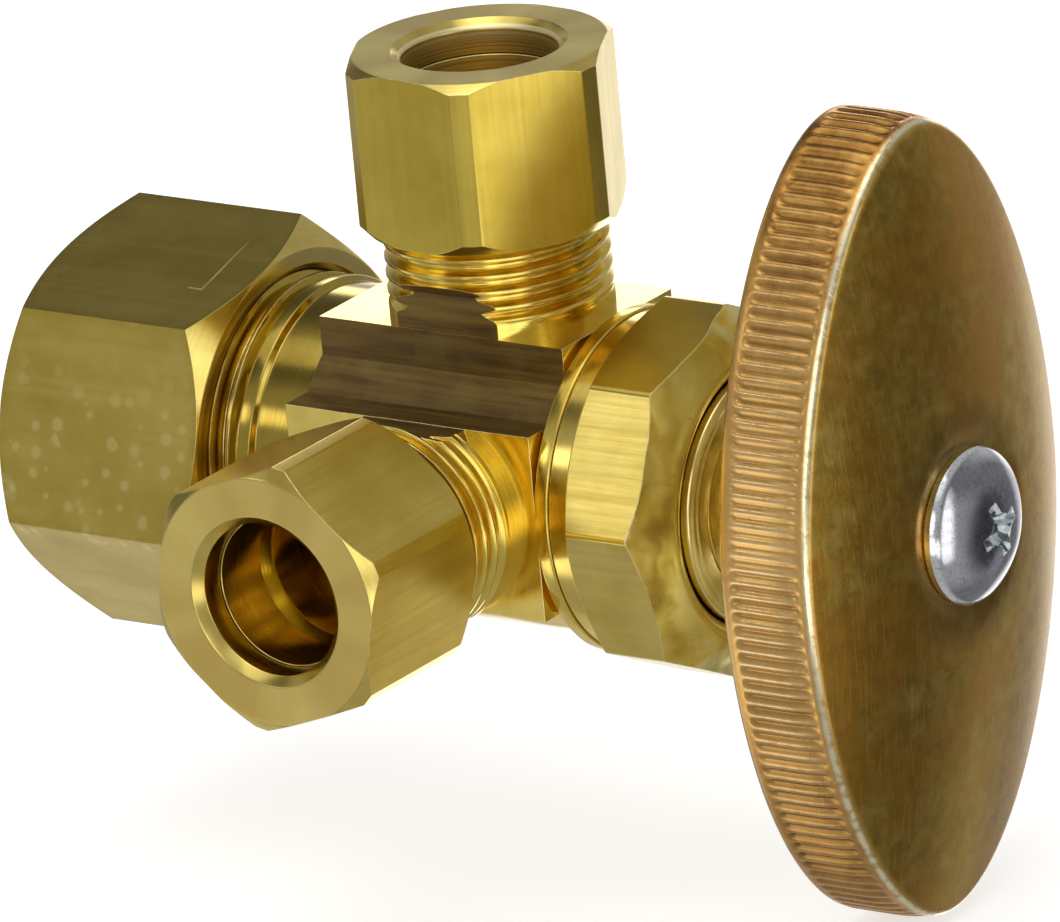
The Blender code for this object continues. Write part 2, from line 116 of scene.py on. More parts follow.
# Studio: (azimuth, elevation, reach and softness in degrees, strength) of each pale box;
# those with a strength below zero are dark corners.
ROOM_LIGHT = 0.4
SOFT_BOXES = [
    (-38, 24, 4, 3, 2.2),
    (0, 84, 12, 6, 0.85),
    (18, 16, 17, 6, 1.2),
    (31, -14, 9, 5, 1.5),
    (-144.5, 18, 6, 2.5, 2.5),
    (-139, -7, 6, 5, 0.5),
    (-162, -8, 18, 7, 0.8),
    (52, -18, 8, 6, 1.2),
    (-41, -33, 8, 5, 1.2),
    (-33, -19, 6, 4, 0.2),
    (74, -26, 6, 5, 1.0),
    (74, -15, 6, 5, 1.0),
    (75, -4, 6, 5, 1.0),
    (77, 7, 6, 5, 1.0),
    (80, 18, 6, 5, 1.0),
    (85, 29, 6, 5, 1.0),
    (-152, -30, 12, 6, 1.0),
    (-166, -38, 9, 6, 1.3),
    (-76, -31, 14, 7, 0.5),
    (152, -33, 8, 5, 0.3),
    (-119, -54, 16, 8, 0.2),
    (35, 62, 16, 10, 0.45),
    (-122, 36, 18, 10, -0.27),
    (-66, 50, 13, 7, -0.26),
    (-84, 8, 11, 6, -0.25),
    (124, -16, 22, 10, -0.25),
]

# ---- shader building
class Nodes:
    """A node tree under construction."""

    def __init__(self, tree):
        self.tree = tree

    def add(self, kind, inputs=None, **settings):
        node = self.tree.nodes.new("ShaderNode" + kind)
        for key, value in settings.items():
            setattr(node, key, value)
        for key, value in (inputs or {}).items():
            self.feed(node.inputs[key], value)
        return node

    def feed(self, socket, value):
        if isinstance(value, bpy.types.NodeSocket):
            self.tree.links.new(value, socket)
        else:
            socket.default_value = value

    def math(self, operation, first, second=0.0, third=0.0, clamp=False):
        node = self.add("Math", {0: first, 1: second, 2: third}, operation=operation)
        node.use_clamp = clamp
        return node.outputs[0]

    def times(self, first, second, clamp=False):
        return self.math("MULTIPLY", first, second, clamp=clamp)

    def times_plus(self, value, factor, extra):
        return self.math("MULTIPLY_ADD", value, factor, extra)

    def mix(self, share, first, second):
        node = self.add("Mix", data_type="RGBA")
        self.feed(node.inputs["Factor"], share)
        for socket, value in ((node.inputs[6], first), (node.inputs[7], second)):
            self.feed(socket, (*value, 1.0) if isinstance(value, tuple) else value)
        return node.outputs[2]


class Shader(Nodes):
    """A node material under construction, with one Principled shader.

    Its place is in millimetres from the axes' crossing.
    """

    def __init__(self, name, axis="X"):
        self.material = bpy.data.materials.new(name)
        self.material.use_nodes = True
        super().__init__(self.material.node_tree)
        self.principled = self.tree.nodes["Principled BSDF"]
        self.axis = axis
        place = self.add("TexCoord").outputs["Object"]
        self.place = self.mapped(place, Scale=(1000, 1000, 1000), Location=CROSSING * -1000)

    def mapped(self, vector, **values):
        return self.add("Mapping", {"Vector": vector, **values}).outputs["Vector"]

    def xyz(self, vector=None):
        return self.add("SeparateXYZ", {0: vector or self.place}).outputs

    def parts(self):
        """(distance along the piece's axis, distance from it), in millimetres."""
        split = self.xyz()
        along = "XYZ".index(self.axis)
        across = [split[i] for i in range(3) if i != along]
        squares = [self.times(c, c) for c in across]
        return split[along], self.math("SQRT", self.math("ADD", *squares))

    def ray(self):
        """Unit direction from the piece's axis, for marks that run across a turned face."""
        keep = tuple(0.0 if letter == self.axis else 1.0 for letter in "XYZ")
        across = self.add("VectorMath", {0: self.place, 1: keep}, operation="MULTIPLY")
        return self.add("VectorMath", {0: across.outputs[0]}, operation="NORMALIZE").outputs[0]

    def noise(self, vector, scale, detail=3.0, roughness=0.5, distortion=0.0):
        node = self.add("TexNoise", {
            "Vector": vector, "Scale": scale, "Detail": detail, "Roughness": roughness,
            "Distortion": distortion,
        })
        return node.outputs["Fac"]

    def line_noise(self, value, scale, detail=2.0):
        """Noise that varies along one value only, such as a tool's feed."""
        node = self.add(
            "TexNoise", {"W": value, "Scale": scale, "Detail": detail}, noise_dimensions="1D"
        )
        return node.outputs["Fac"]

    def ramp(self, value, stops):
        """Value to value, through (place, value) stops."""
        node = self.add("ValToRGB", {"Fac": value})
        elements = node.color_ramp.elements
        while len(elements) < len(stops):
            elements.new(0.5)
        for element, (place, shade) in zip(elements, stops):
            element.position = place
            colour = shade if isinstance(shade, tuple) else (shade,) * 3
            element.color = (*colour, 1.0)
        return node.outputs["Color"]

    def span(self, value, start, end):
        """0 to 1 as the value goes from start to end."""
        node = self.add("MapRange", {"Value": value, "From Min": start, "From Max": end})
        return node.outputs["Result"]

    def patched(self, colour, pattern, start, end, share, tone):
        """The colour, turning to the tone (up to a share of it) as the pattern rises."""
        return self.mix(self.ramp(pattern, [(start, 0.0), (end, share)]), colour, tone)

    def bump(self, height, strength, distance=0.02, normal=None):
        values = {"Height": height, "Strength": strength, "Distance": distance * MM}
        if normal is not None:
            values["Normal"] = normal
        return self.add("Bump", values).outputs["Normal"]

    def rounded_edges(self, reach=0.09):
        """(normal that rounds the sharp edges, uneven share along them).  Callers use the share
        for worn edges that are partly painted highlight, and for painted shade beside edges.
        """
        rounded = self.add("Bevel", {"Radius": reach * MM}, samples=5).outputs["Normal"]
        plain = self.add("NewGeometry").outputs["Normal"]
        facing = self.add("VectorMath", {0: rounded, 1: plain}, operation="DOT_PRODUCT")
        edge = self.ramp(facing.outputs["Value"], [(0.955, 1.0), (0.997, 0.0)])
        uneven = self.ramp(self.noise(self.place, 1.7, detail=4.0), [(0.36, 0.2), (0.58, 1.0)])
        return rounded, self.times(edge, uneven)

    def finish(self, colour, roughness, metallic=1.0, normal=None):
        values = {"Base Color": colour, "Roughness": roughness, "Metallic": metallic}
        if normal is not None:
            values["Normal"] = normal
        for key, value in values.items():
            self.feed(self.principled.inputs[key], value)
        return self.material


def scaled(tone, factors):
    return tuple(min(1.0, c * f) for c, f in zip(tone, factors))


# ---- materials
def turned_brass(name, axis, tone=(0.9, 0.69, 0.15), rough=0.13, marks=0.3, face_rough=0.0,
                 face_tone=(0.84, 0.68, 0.24), bore=0.0):
    """Bright machined brass with the fine rings that a lathe tool leaves.

    Face_rough dulls the flat end faces, where the tool's rings are coarser, and gives them a
    face tone with sectors of painted sheen.  A bore (a radius) is paler inside, painted light
    on its wall, with rings that show.
    """
    sh = Shader(name, axis)
    along, radius = sh.parts()
    feed = sh.math("ADD", along, radius)
    fine = sh.line_noise(feed, 14.0)
    coarse = sh.line_noise(feed, 3.0)
    cloud = sh.noise(sh.place, 0.35, detail=4.0)
    dark = scaled(tone, (0.8, 0.74, 0.62))
    colour = sh.patched(tone, cloud, 0.38, 0.72, 1.0, dark)
    colour = sh.patched(colour, fine, 0.35, 0.8, 0.35, dark)
    spread = sh.times_plus(coarse, 0.14, rough - 0.04)
    normal, edge = sh.rounded_edges()
    if face_rough:
        split = sh.xyz(sh.add("NewGeometry").outputs["Normal"])
        facing = sh.math("ABSOLUTE", split["XYZ".index(axis)])
        share = sh.ramp(facing, [(0.86, 0.0), (0.96, 1.0)])
        spread = sh.times_plus(share, face_rough, spread)
        # Sectors round the end face, lighter and darker: painted sheen of a turned face.
        painted_sheen = sh.noise(sh.ray(), 1.1, detail=2.0)
        face = sh.mix(0.6, colour, face_tone)
        sheen_shade = scaled(face_tone, (0.78, 0.66, 0.5))
        face = sh.patched(face, painted_sheen, 0.42, 0.6, 0.6, sheen_shade)
        colour = sh.mix(share, colour, face)
    if bore:
        inside = sh.math("LESS_THAN", radius, bore)
        rings = sh.ramp(sh.line_noise(along, 4.5, detail=3.0), [(0.4, 0.0), (0.6, 1.0)])
        # Paler inside the bore: painted light on its wall, over turning rings.
        pale = sh.mix(rings, (0.66, 0.5, 0.17), (0.98, 0.86, 0.46))
        colour = sh.mix(inside, colour, pale)
        spread = sh.times_plus(inside, 0.14, spread)
    # Edges worn bright, partly painted highlight.
    colour = sh.mix(edge, colour, (1.0, 0.86, 0.42))
    height = sh.times_plus(fine, 0.7, sh.times(coarse, 0.5))
    return sh.finish(colour, spread, normal=sh.bump(height, marks, 0.012, normal))


def drawn_brass(name, axis, tone=(0.76, 0.585, 0.14), spots=0.0, streaked=0.4, shaded=0.0):
    """Satin drawn bar: faint streaks along the axis, clouds of tarnish and a few specks.

    A shaded bar gets painted shade beside its edges; otherwise its edges are worn bright, partly
    painted highlight.
    """
    sh = Shader(name, axis)
    thin, long = 2.6, 0.07
    scale = Vector([long if letter == axis else thin for letter in "XYZ"])
    streaks = sh.noise(sh.mapped(sh.place, Scale=scale), 1.3, detail=5.0, roughness=0.65)
    bands = sh.noise(sh.mapped(sh.place, Scale=scale * 0.3), 1.0, detail=2.0)
    cloud = sh.noise(sh.place, 0.16, detail=4.0, roughness=0.6)
    grime = sh.noise(sh.place, 1.4, detail=5.0, roughness=0.7)
    dark = scaled(tone, (0.76, 0.71, 0.52))
    colour = sh.patched(tone, cloud, 0.3, 0.7, 1.0, dark)
    colour = sh.patched(colour, streaks, 0.45, 0.8, streaked, dark)
    colour = sh.patched(colour, bands, 0.5, 0.75, 0.4, scaled(tone, (1.08, 1.1, 1.3)))
    colour = sh.patched(colour, grime, 0.68, 0.82, 0.35, (0.16, 0.12, 0.05))
    rough = sh.times_plus(streaks, 0.14, 0.17)
    if spots:
        colour, rough = water_spots(sh, colour, rough, spots)
    if shaded:
        # Painted shade in a band beside the edges.
        normal, edge = None, sh.rounded_edges(1.3)[1]
        colour = sh.mix(sh.times(edge, shaded), colour, dark)
    else:
        normal, edge = sh.rounded_edges()
        # Edges worn bright, partly painted highlight.
        colour = sh.mix(edge, colour, (1.0, 0.88, 0.45))
    height = sh.times_plus(streaks, 1.0, sh.times(grime, 0.3))
    return sh.finish(colour, rough, normal=sh.bump(height, 0.22 * streaked, 0.02, normal))


def water_spots(sh, colour, rough, amount):
    """Dried drops: round pale patches of two sizes on the front flat."""
    split = sh.xyz()
    flat = sh.add("CombineXYZ", {0: split["X"], 1: split["Z"]}).outputs[0]
    amount = sh.times(sh.span(split["Z"], 8.0, 3.5), amount)
    amount = sh.times(sh.span(split["Z"], -4.7, -4.1), amount)
    uneven = sh.noise(sh.place, 1.5, detail=3.0)
    for size, reach in ((0.26, 0.34), (0.7, 0.42)):
        cells = sh.add(
            "TexVoronoi", {"Vector": flat, "Scale": size, "Randomness": 1.0},
            voronoi_dimensions="2D",
        )
        chance = sh.add("SeparateColor", {0: cells.outputs["Color"]}).outputs[0]
        radius = sh.ramp(chance, [(0.25, 0.0), (0.5, reach * 0.5), (1.0, reach)])
        distance = sh.times_plus(uneven, 0.02, cells.outputs["Distance"])
        drop = sh.times(sh.math("SUBTRACT", radius, distance), 7.0, clamp=True)
        share = sh.times(drop, amount)
        colour = sh.mix(share, colour, (0.95, 0.84, 0.34))
        rough = sh.times_plus(share, 0.02, rough)
    return colour, rough


def raw_skin(name):
    """The bar's untouched skin: brown oxide drawn out in streaks along the bar."""
    sh = Shader(name)
    streaks = sh.noise(sh.mapped(sh.place, Scale=(0.1, 1.9, 1.9)), 1.0, detail=6.0, roughness=0.62)
    wide = sh.noise(sh.mapped(sh.place, Scale=(0.05, 0.5, 0.5)), 1.0, detail=2.0)
    patch = sh.noise(sh.place, 0.45, detail=4.0)
    pits = sh.noise(sh.place, 3.5, detail=4.0, roughness=0.7)
    colour = sh.ramp(streaks, [
        (0.3, (0.09, 0.05, 0.014)),
        (0.46, (0.18, 0.108, 0.026)),
        (0.6, (0.25, 0.16, 0.038)),
        (0.78, (0.33, 0.225, 0.065)),
    ])
    colour = sh.patched(colour, wide, 0.42, 0.62, 0.5, (0.13, 0.08, 0.03))
    colour = sh.patched(colour, patch, 0.5, 0.75, 0.4, (0.3, 0.22, 0.06))
    rough = sh.times_plus(streaks, 0.3, 0.3)
    height = sh.math("ADD", streaks, sh.times(pits, 0.4))
    return sh.finish(colour, rough, metallic=0.75, normal=sh.bump(height, 0.45, 0.05))


def forged_brass(name):
    """The bonnet nut's sloping end: cloudy, softly dented, bright and dull in patches."""
    sh = Shader(name)
    cloud = sh.noise(sh.place, 0.22, detail=2.5, distortion=0.6)
    fine = sh.noise(sh.place, 1.2, detail=5.0, roughness=0.6)
    colour = sh.ramp(cloud, [
        (0.38, (0.54, 0.42, 0.11)),
        (0.5, (0.8, 0.66, 0.2)),
        (0.62, (0.93, 0.82, 0.35)),
    ])
    colour = sh.patched(colour, fine, 0.54, 0.74, 0.3, (0.5, 0.4, 0.13))
    rough = sh.times_plus(fine, 0.3, 0.08)
    normal, edge = sh.rounded_edges(0.12)
    # Edges worn bright, partly painted highlight.
    colour = sh.mix(edge, colour, (1.0, 0.9, 0.52))
    return sh.finish(colour, rough, normal=sh.bump(cloud, 0.3, 0.12, normal))


def antique_bronze(name):
    """The handle's plating: olive-bronze on the face, worn to copper on the rim.

    The mesh says where it is worn bright (wear; 3 is the dull underside), which part is
    rim, how much darker the knurls' grooves are, and where hands have polished it.
    """
    sh = Shader(name)
    wear, rim, groove_dark, polish = (
        sh.add("Attribute", attribute_name=key).outputs["Fac"]
        for key in ("wear", "rim", "groove_dark", "polish")
    )
    cloud = sh.noise(sh.place, 0.13, detail=4.0, roughness=0.55)
    mottle = sh.noise(sh.place, 0.8, detail=6.0, roughness=0.58, distortion=0.3)
    grain = sh.noise(sh.place, 6.0, detail=4.0, roughness=0.7)
    stain = sh.noise(sh.place, 0.42, detail=5.0, roughness=0.65, distortion=0.8)
    height = sh.xyz()["Z"]
    # Darker towards the bottom.
    low = sh.times(sh.span(height, 2.0, -20.0), 0.4)
    face = sh.ramp(mottle, [
        (0.32, (0.4, 0.24, 0.04)),
        (0.5, (0.51, 0.315, 0.054)),
        (0.66, (0.6, 0.395, 0.09)),
    ])
    face = sh.patched(face, cloud, 0.46, 0.58, 0.7, (0.54, 0.255, 0.032))
    face = sh.mix(low, face, (0.22, 0.135, 0.026))
    # Painted shade on the face above and below the screw.
    aside = sh.times(sh.math("ABSOLUTE", height), 0.11, clamp=True)
    screw_shade = sh.times(sh.span(sh.parts()[1], 8.2, 5.4), aside)
    face = sh.mix(screw_shade, face, (0.11, 0.075, 0.02))
    face = sh.patched(face, stain, 0.6, 0.68, 0.45, (0.4, 0.275, 0.08))
    copper = sh.ramp(mottle, [
        (0.3, (0.4, 0.175, 0.036)),
        (0.5, (0.62, 0.305, 0.066)),
        (0.7, (0.8, 0.45, 0.12)),
    ])
    copper = sh.mix(sh.times(polish, 0.75), copper, (1.0, 0.62, 0.21))
    # Darker in the knurls' grooves, less so where polished.
    dark = sh.math("SUBTRACT", 0.85, sh.times(polish, 0.35))
    copper = sh.mix(sh.times(groove_dark, dark), copper, (0.13, 0.065, 0.018))
    copper = sh.mix(low, copper, (0.24, 0.12, 0.03))
    colour = sh.mix(rim, face, copper)
    broken = sh.ramp(sh.noise(sh.place, 1.6, detail=4.0), [(0.36, 0.35), (0.55, 1.0)])
    share = sh.times(wear, broken, clamp=True)
    colour = sh.mix(share, colour, (0.98, 0.88, 0.56))
    rough = sh.times_plus(mottle, 0.16, 0.2)
    rough = sh.times_plus(share, -0.1, rough)
    rough = sh.times_plus(sh.math("GREATER_THAN", wear, 2.0), 0.3, rough)
    relief = sh.times_plus(mottle, 0.5, sh.times(grain, 0.3))
    normal = sh.bump(scratches(sh), 0.25, 0.012, sh.bump(relief, 0.2, 0.03))
    return sh.finish(colour, rough, normal=normal)


def scratches(sh):
    """Fine hairlines in a few directions."""
    total = 0.0
    for turn in (0.3, 1.4, 2.5):
        way = sh.mapped(sh.place, Rotation=(turn, 0.0, 0.0), Scale=(1.0, 9.0, 0.18))
        line = sh.noise(way, 1.0, detail=3.0)
        cut = sh.ramp(line, [(0.64, 0.0), (0.67, 1.0)])
        total = sh.math("ADD", cut, total)
    return total


def zinc_plate(name):
    """Bright zinc on a steel screw: mirror-like and speckled, with painted dark reflection in the
    middle and painted highlight towards -Y and round the rim.
    """
    sh = Shader(name)
    radius = sh.parts()[1]
    cloud = sh.noise(sh.place, 0.7, detail=4.0, distortion=0.5)
    pits = sh.noise(sh.place, 3.6, detail=5.0, roughness=0.7)
    # Painted reflection: dark in the middle and towards +Y, light towards -Y and the edge.
    split = sh.xyz()
    side = sh.times(split["Y"], -0.35)
    reach = sh.times_plus(radius, 0.8, side)
    reach = sh.times_plus(cloud, 1.2, sh.math("SUBTRACT", reach, 0.6))
    colour = sh.mix(sh.span(reach, 2.3, 4.4), (0.2, 0.19, 0.23), (0.66, 0.66, 0.7))
    # Painted dark reflection above and below the middle.
    dark_reflection_above_below = sh.span(sh.math("ABSOLUTE", split["Z"]), 2.2, 3.3)
    colour = sh.mix(dark_reflection_above_below, colour, (0.29, 0.29, 0.32))
    # Painted highlight round the rim: all round at its very edge, wider towards +Y.
    rim_highlight_side = sh.math("SUBTRACT", 0.6, side, clamp=True)
    rim = sh.times(sh.span(radius, 4.0, 4.6), rim_highlight_side)
    rim = sh.math("MAXIMUM", rim, sh.span(radius, 4.7, 4.85))
    colour = sh.mix(rim, colour, (0.93, 0.94, 0.96))
    colour = sh.patched(colour, pits, 0.5, 0.62, 0.45, (0.4, 0.4, 0.43))
    colour = sh.mix(sh.ramp(pits, [(0.36, 0.5), (0.44, 0.0)]), colour, (0.12, 0.12, 0.14))
    spread = sh.times_plus(pits, 0.12, 0.02)
    normal, edge = sh.rounded_edges(0.1)
    # Edges worn bright, partly painted highlight.
    colour = sh.mix(edge, colour, (0.95, 0.96, 1.0))
    height = sh.times_plus(sh.line_noise(radius, 9.0), 0.2, pits)
    return sh.finish(colour, spread, normal=sh.bump(height, 0.12, 0.03, normal))


def zinc_with_painted_glints(name):
    """The cross recess, crumpled by drivers into small faces, each given its own brightness from
    near black to white: painted glints and shade.
    """
    sh = Shader(name)
    cells = sh.add("TexVoronoi", {"Vector": sh.place, "Scale": 1.9, "Randomness": 1.0})
    chance = sh.add("SeparateColor", {0: cells.outputs["Color"]}).outputs[0]
    # Painted glints and shade, one brightness to each small face.
    colour = sh.ramp(chance, [
        (0.2, (0.1, 0.13, 0.14)),
        (0.4, (0.42, 0.52, 0.54)),
        (0.62, (0.95, 1.0, 1.0)),
    ])
    rough = sh.times_plus(chance, 0.2, 0.2)
    height = sh.math("ADD", cells.outputs["Distance"], chance)
    return sh.finish(colour, rough, metallic=0.35, normal=sh.bump(height, 0.8, 0.25))


def graphite(name):
    sh = Shader(name)
    grain = sh.noise(sh.place, 5.0, detail=6.0, roughness=0.7)
    colour = sh.ramp(grain, [(0.35, (0.018, 0.018, 0.02)), (0.7, (0.09, 0.09, 0.095))])
    return sh.finish(colour, 0.5, metallic=0.3, normal=sh.bump(grain, 0.5, 0.05))


def rubber(name):
    sh = Shader(name)
    grain = sh.noise(sh.place, 7.0, detail=5.0)
    colour = sh.ramp(grain, [(0.3, (0.01, 0.01, 0.01)), (0.75, (0.045, 0.045, 0.043))])
    rough = sh.times_plus(grain, 0.2, 0.6)
    return sh.finish(colour, rough, metallic=0.0, normal=sh.bump(grain, 0.35, 0.03))


def fibre(name):
    sh = Shader(name)
    strands = sh.noise(sh.mapped(sh.place, Scale=(6.0, 1.0, 1.0)), 2.0, detail=6.0, distortion=1.5)
    colour = sh.ramp(strands, [(0.3, (0.2, 0.055, 0.03)), (0.7, (0.4, 0.15, 0.085))])
    return sh.finish(colour, 0.75, metallic=0.0, normal=sh.bump(strands, 0.5, 0.06))


# ---- mesh building
def smooth_corners(outline, size):
    """Rounds the plain corners of a closed outline of (radius, axial) points."""
    count = len(outline)
    result = []
    for index, item in enumerate(outline):
        before, after = outline[index - 1], outline[(index + 1) % count]
        plain = not any(isinstance(i, dict) for i in (item, before, after))
        if not plain or item[0] == 0:
            result.append(item)
            continue
        point, first, last = (Vector(p) for p in (item, before, after))
        back, ahead = first - point, last - point
        reach = min(size, back.length * 0.4, ahead.length * 0.4)
        if reach < 0.01:
            result.append(item)
            continue
        start = point + back.normalized() * reach
        end = point + ahead.normalized() * reach
        for share in (0.0, 0.3, 0.7, 1.0):
            along = start.lerp(point, share).lerp(point.lerp(end, share), share)
            result.append((along.x, along.y))
    return result


def thread(start, end, crest, pitch, fades=(0.0, 0.0), limits=(None, None), share=THREAD_SHARE):
    """A stretch of helical thread between two axial distances.

    Its grooves fade in over each fade length.  A limit is (radius at the end, slope,
    "min" or "max") and makes the lead-in chamfer or countersink there.
    """
    return {
        "start": start, "end": end, "crest": crest, "pitch": pitch, "fades": fades,
        "limits": limits, "depth": pitch * share,
    }


def thread_points(spec, turns):
    """Radius and axial grids of a thread, one column for each turn angle."""
    low, high = sorted((spec["start"], spec["end"]))
    pitch = spec["pitch"]
    first = math.floor((low / pitch - 1) * THREAD_SAMPLES)
    last = math.ceil(high / pitch * THREAD_SAMPLES)
    index = np.arange(first, last + 1)[:, None]
    axial = np.clip(pitch * (index / THREAD_SAMPLES + turns[None, :] / math.tau), low, high)
    phase = np.broadcast_to((index / THREAD_SAMPLES) % 1.0, axial.shape)
    groove = np.clip((0.5 - np.abs(phase - 0.5) - 0.09) / 0.3, 0.0, 1.0)
    groove = smooth(groove) * 0.35 + groove * 0.65
    radius = spec["crest"] - spec["depth"] * groove * fade(axial, spec)
    for place, limit in zip((spec["start"], spec["end"]), spec["limits"]):
        if limit is not None:
            at_end, slope, kind = limit
            cone = at_end + slope * np.abs(axial - place)
            radius = np.minimum(radius, cone) if kind == "min" else np.maximum(radius, cone)
    if spec["start"] > spec["end"]:
        return radius[::-1], axial[::-1]
    return radius, axial


def fade(axial, spec):
    """1 along the thread, and down to 0 at an end that fades."""
    share = np.ones_like(axial)
    for place, length in zip((spec["start"], spec["end"]), spec["fades"]):
        if length:
            share = share * np.clip(np.abs(axial - place) / length, 0.0, 1.0)
    return share


def join_rings(bm, points, columns, closed):
    """Four-sided faces between each ring of points and the next; returns the rings."""
    rings = [[bm.verts.new(p) for p in ring] for ring in points]
    following = rings[1:] + rings[:1] if closed else rings[1:]
    for ring, after in zip(rings, following):
        for i in range(columns):
            j = (i + 1) % len(ring)
            bm.faces.new((ring[i], ring[j], after[j], after[i]))
    return rings


def turned(name, outline, place, material, steps=ROUND_STEPS, soft=0.12):
    """A closed solid of revolution from an outline of points and threads."""
    if soft:
        outline = smooth_corners(outline, soft)
    turns = np.linspace(0.0, math.tau, steps + 1)
    rows = []
    for item in outline:
        if isinstance(item, dict):
            rows.append(thread_points(item, turns))
        else:
            rows.append(np.broadcast_to(np.reshape(item, (2, 1, 1)), (2, 1, steps + 1)))
    radius, axial = np.concatenate(rows, axis=1)
    points = np.stack((radius * np.cos(turns), radius * np.sin(turns), axial), axis=-1) * MM
    closed = isinstance(outline[0], dict) or outline[0][0] > 0
    bm = bmesh.new()
    join_rings(bm, points, steps, closed)
    bmesh.ops.remove_doubles(bm, verts=bm.verts, dist=2e-7)
    bmesh.ops.dissolve_degenerate(bm, edges=bm.edges, dist=1e-7)
    bmesh.ops.recalc_face_normals(bm, faces=bm.faces)
    return solid(bm, name, place, material)


def solid(bm, name, place, material=None):
    """The finished mesh as an object, moved to its place."""
    mesh = bpy.data.meshes.new(name)
    bm.to_mesh(mesh)
    bm.free()
    mesh.transform(place)
    if material is not None:
        mesh.materials.append(material)
    return new_object(name, mesh)


def new_object(name, data):
    obj = bpy.data.objects.new(name, data)
    bpy.context.scene.collection.objects.link(obj)
    return obj


def box(name, size, middle, place, material):
    """A plain box of a size round its middle."""
    bm = bmesh.new()
    bmesh.ops.create_cube(bm, size=1.0)
    bmesh.ops.scale(bm, verts=bm.verts, vec=Vector(size) * MM)
    bmesh.ops.translate(bm, verts=bm.verts, vec=Vector(middle) * MM)
    return solid(bm, name, place, material)


def prism(name, flats, sides, low, high, spin, place, material, edge):
    """A hexagonal or octagonal bar.  Its long edges get a narrow, softened flat, if any."""
    bm = bmesh.new()
    corner = flats / 2 / math.cos(math.pi / sides) * MM
    bmesh.ops.create_cone(
        bm, cap_ends=True, segments=sides, radius1=corner, radius2=corner,
        depth=(high - low) * MM, matrix=Matrix.Translation((0, 0, (high + low) / 2 * MM)),
    )
    bmesh.ops.rotate(bm, verts=bm.verts, matrix=Matrix.Rotation(spin - math.pi / 2, 3, "Z"))
    widths = (edge, SOFT_EDGE) if edge else ()
    for width in widths:
        upright = [e for e in bm.edges if abs(e.verts[0].co.z - e.verts[1].co.z) > 0.5 * MM]
        bmesh.ops.bevel(bm, geom=upright, offset=width * MM, segments=1, affect="EDGES")
    return solid(bm, name, place, material)


def boolean(obj, operation, other):
    """Applies one exact Boolean; the new faces keep the other mesh's materials."""
    modifier = obj.modifiers.new("boolean", "BOOLEAN")
    modifier.operation = operation
    modifier.solver = "EXACT"
    modifier.material_mode = "TRANSFER"
    modifier.object = other
    depsgraph = bpy.context.evaluated_depsgraph_get()
    mesh = bpy.data.meshes.new_from_object(obj.evaluated_get(depsgraph))
    obj.modifiers.clear()
    obj.data = mesh
    bpy.data.objects.remove(other, do_unlink=True)
    return obj


def piece(obj, body, node, sharp=35.0):
    """Finishes a visible piece: shading, the CAD body it rides on, the node it stands for."""
    obj.data.shade_smooth()
    obj.data.set_sharp_from_angle(angle=math.radians(sharp))
    weighted = obj.modifiers.new("normals", "WEIGHTED_NORMAL")
    weighted.keep_sharp = True
    weighted.mode = "FACE_AREA"
    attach(obj, body)
    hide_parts(node)
    return obj


# ---- valve body
def bar_section():
    """The raw bar's outline as (y, z): a round hub with an arm up and an arm forward.

    Beyond the waist each arm swells, which leaves the skin's lip on the necks.
    """
    notch = math.asin(BAR_HALF / HUB_RADIUS)
    swell, lip, reach = 7.9, 14.9, 26.0
    arm = [(BAR_HALF, WAIST_END), (swell, lip), (swell, reach)]
    up = [(half, z) for half, z in arm] + [(-half, z) for half, z in reversed(arm)]
    forward = [(-z, half) for half, z in arm] + [(-z, -half) for half, z in reversed(arm)]
    between = hub_arc(math.pi * 0.75, math.pi / 4 - notch, 8)
    behind = hub_arc(math.pi * 1.75, math.pi * 0.75 - notch, 60)
    return up + between + forward + behind


def hub_arc(middle, half_angle, count):
    turns = np.linspace(middle - half_angle, middle + half_angle, count + 1)
    return [(HUB_RADIUS * math.cos(t), HUB_RADIUS * math.sin(t)) for t in turns]


def divided(points, step):
    """The closed outline with its long sides cut into equal short ones."""
    result = []
    for start, end in zip(points, points[1:] + points[:1]):
        start, end = Vector(start), Vector(end)
        count = max(1, round((end - start).length / step))
        result += [start.lerp(end, i / count) for i in range(count)]
    return result


def raw_bar(name, material, low, high, turned_hub=None, sunk=0.0):
    """The bar between two distances along X, its skin slightly uneven.

    The hub's back and underside can have a second, turned material.  A sunk bar lies
    just under the other one's skin, so that the two don't touch.
    """
    section = divided(bar_section(), 0.45)
    count = len(section)
    sides = [section[(i + 1) % count] - section[i - 1] for i in range(count)]
    outwards = [Vector((s.y, -s.x)).normalized() for s in sides]
    skin = []
    for x in np.arange(low, high + 0.01, 0.5):
        ring = []
        for point, out in zip(section, outwards):
            sample = Vector((x * 0.25, point.x * 0.9, point.y * 0.9))
            rise = noise.noise(sample) * 0.05 + noise.noise(sample * 3.1) * 0.025
            y, z = point + out * (rise - sunk)
            ring.append(Vector((x, y, z)) * MM)
        skin.append(ring)
    bm = bmesh.new()
    rings = join_rings(bm, skin, count, closed=False)
    bm.faces.new(rings[0])
    bm.faces.new(rings[-1])
    bmesh.ops.recalc_face_normals(bm, faces=bm.faces)
    bar = solid(bm, name, TO_CROSSING, material)
    if turned_hub is not None:
        bar.data.materials.append(turned_hub)
        for polygon in bar.data.polygons:
            y, z = ((polygon.center - CROSSING) / MM).yz
            between_arms = y < 0 and z > 0
            if math.hypot(y, z) < HUB_RADIUS + 0.2 and not between_arms:
                polygon.material_index = 1
    return bar


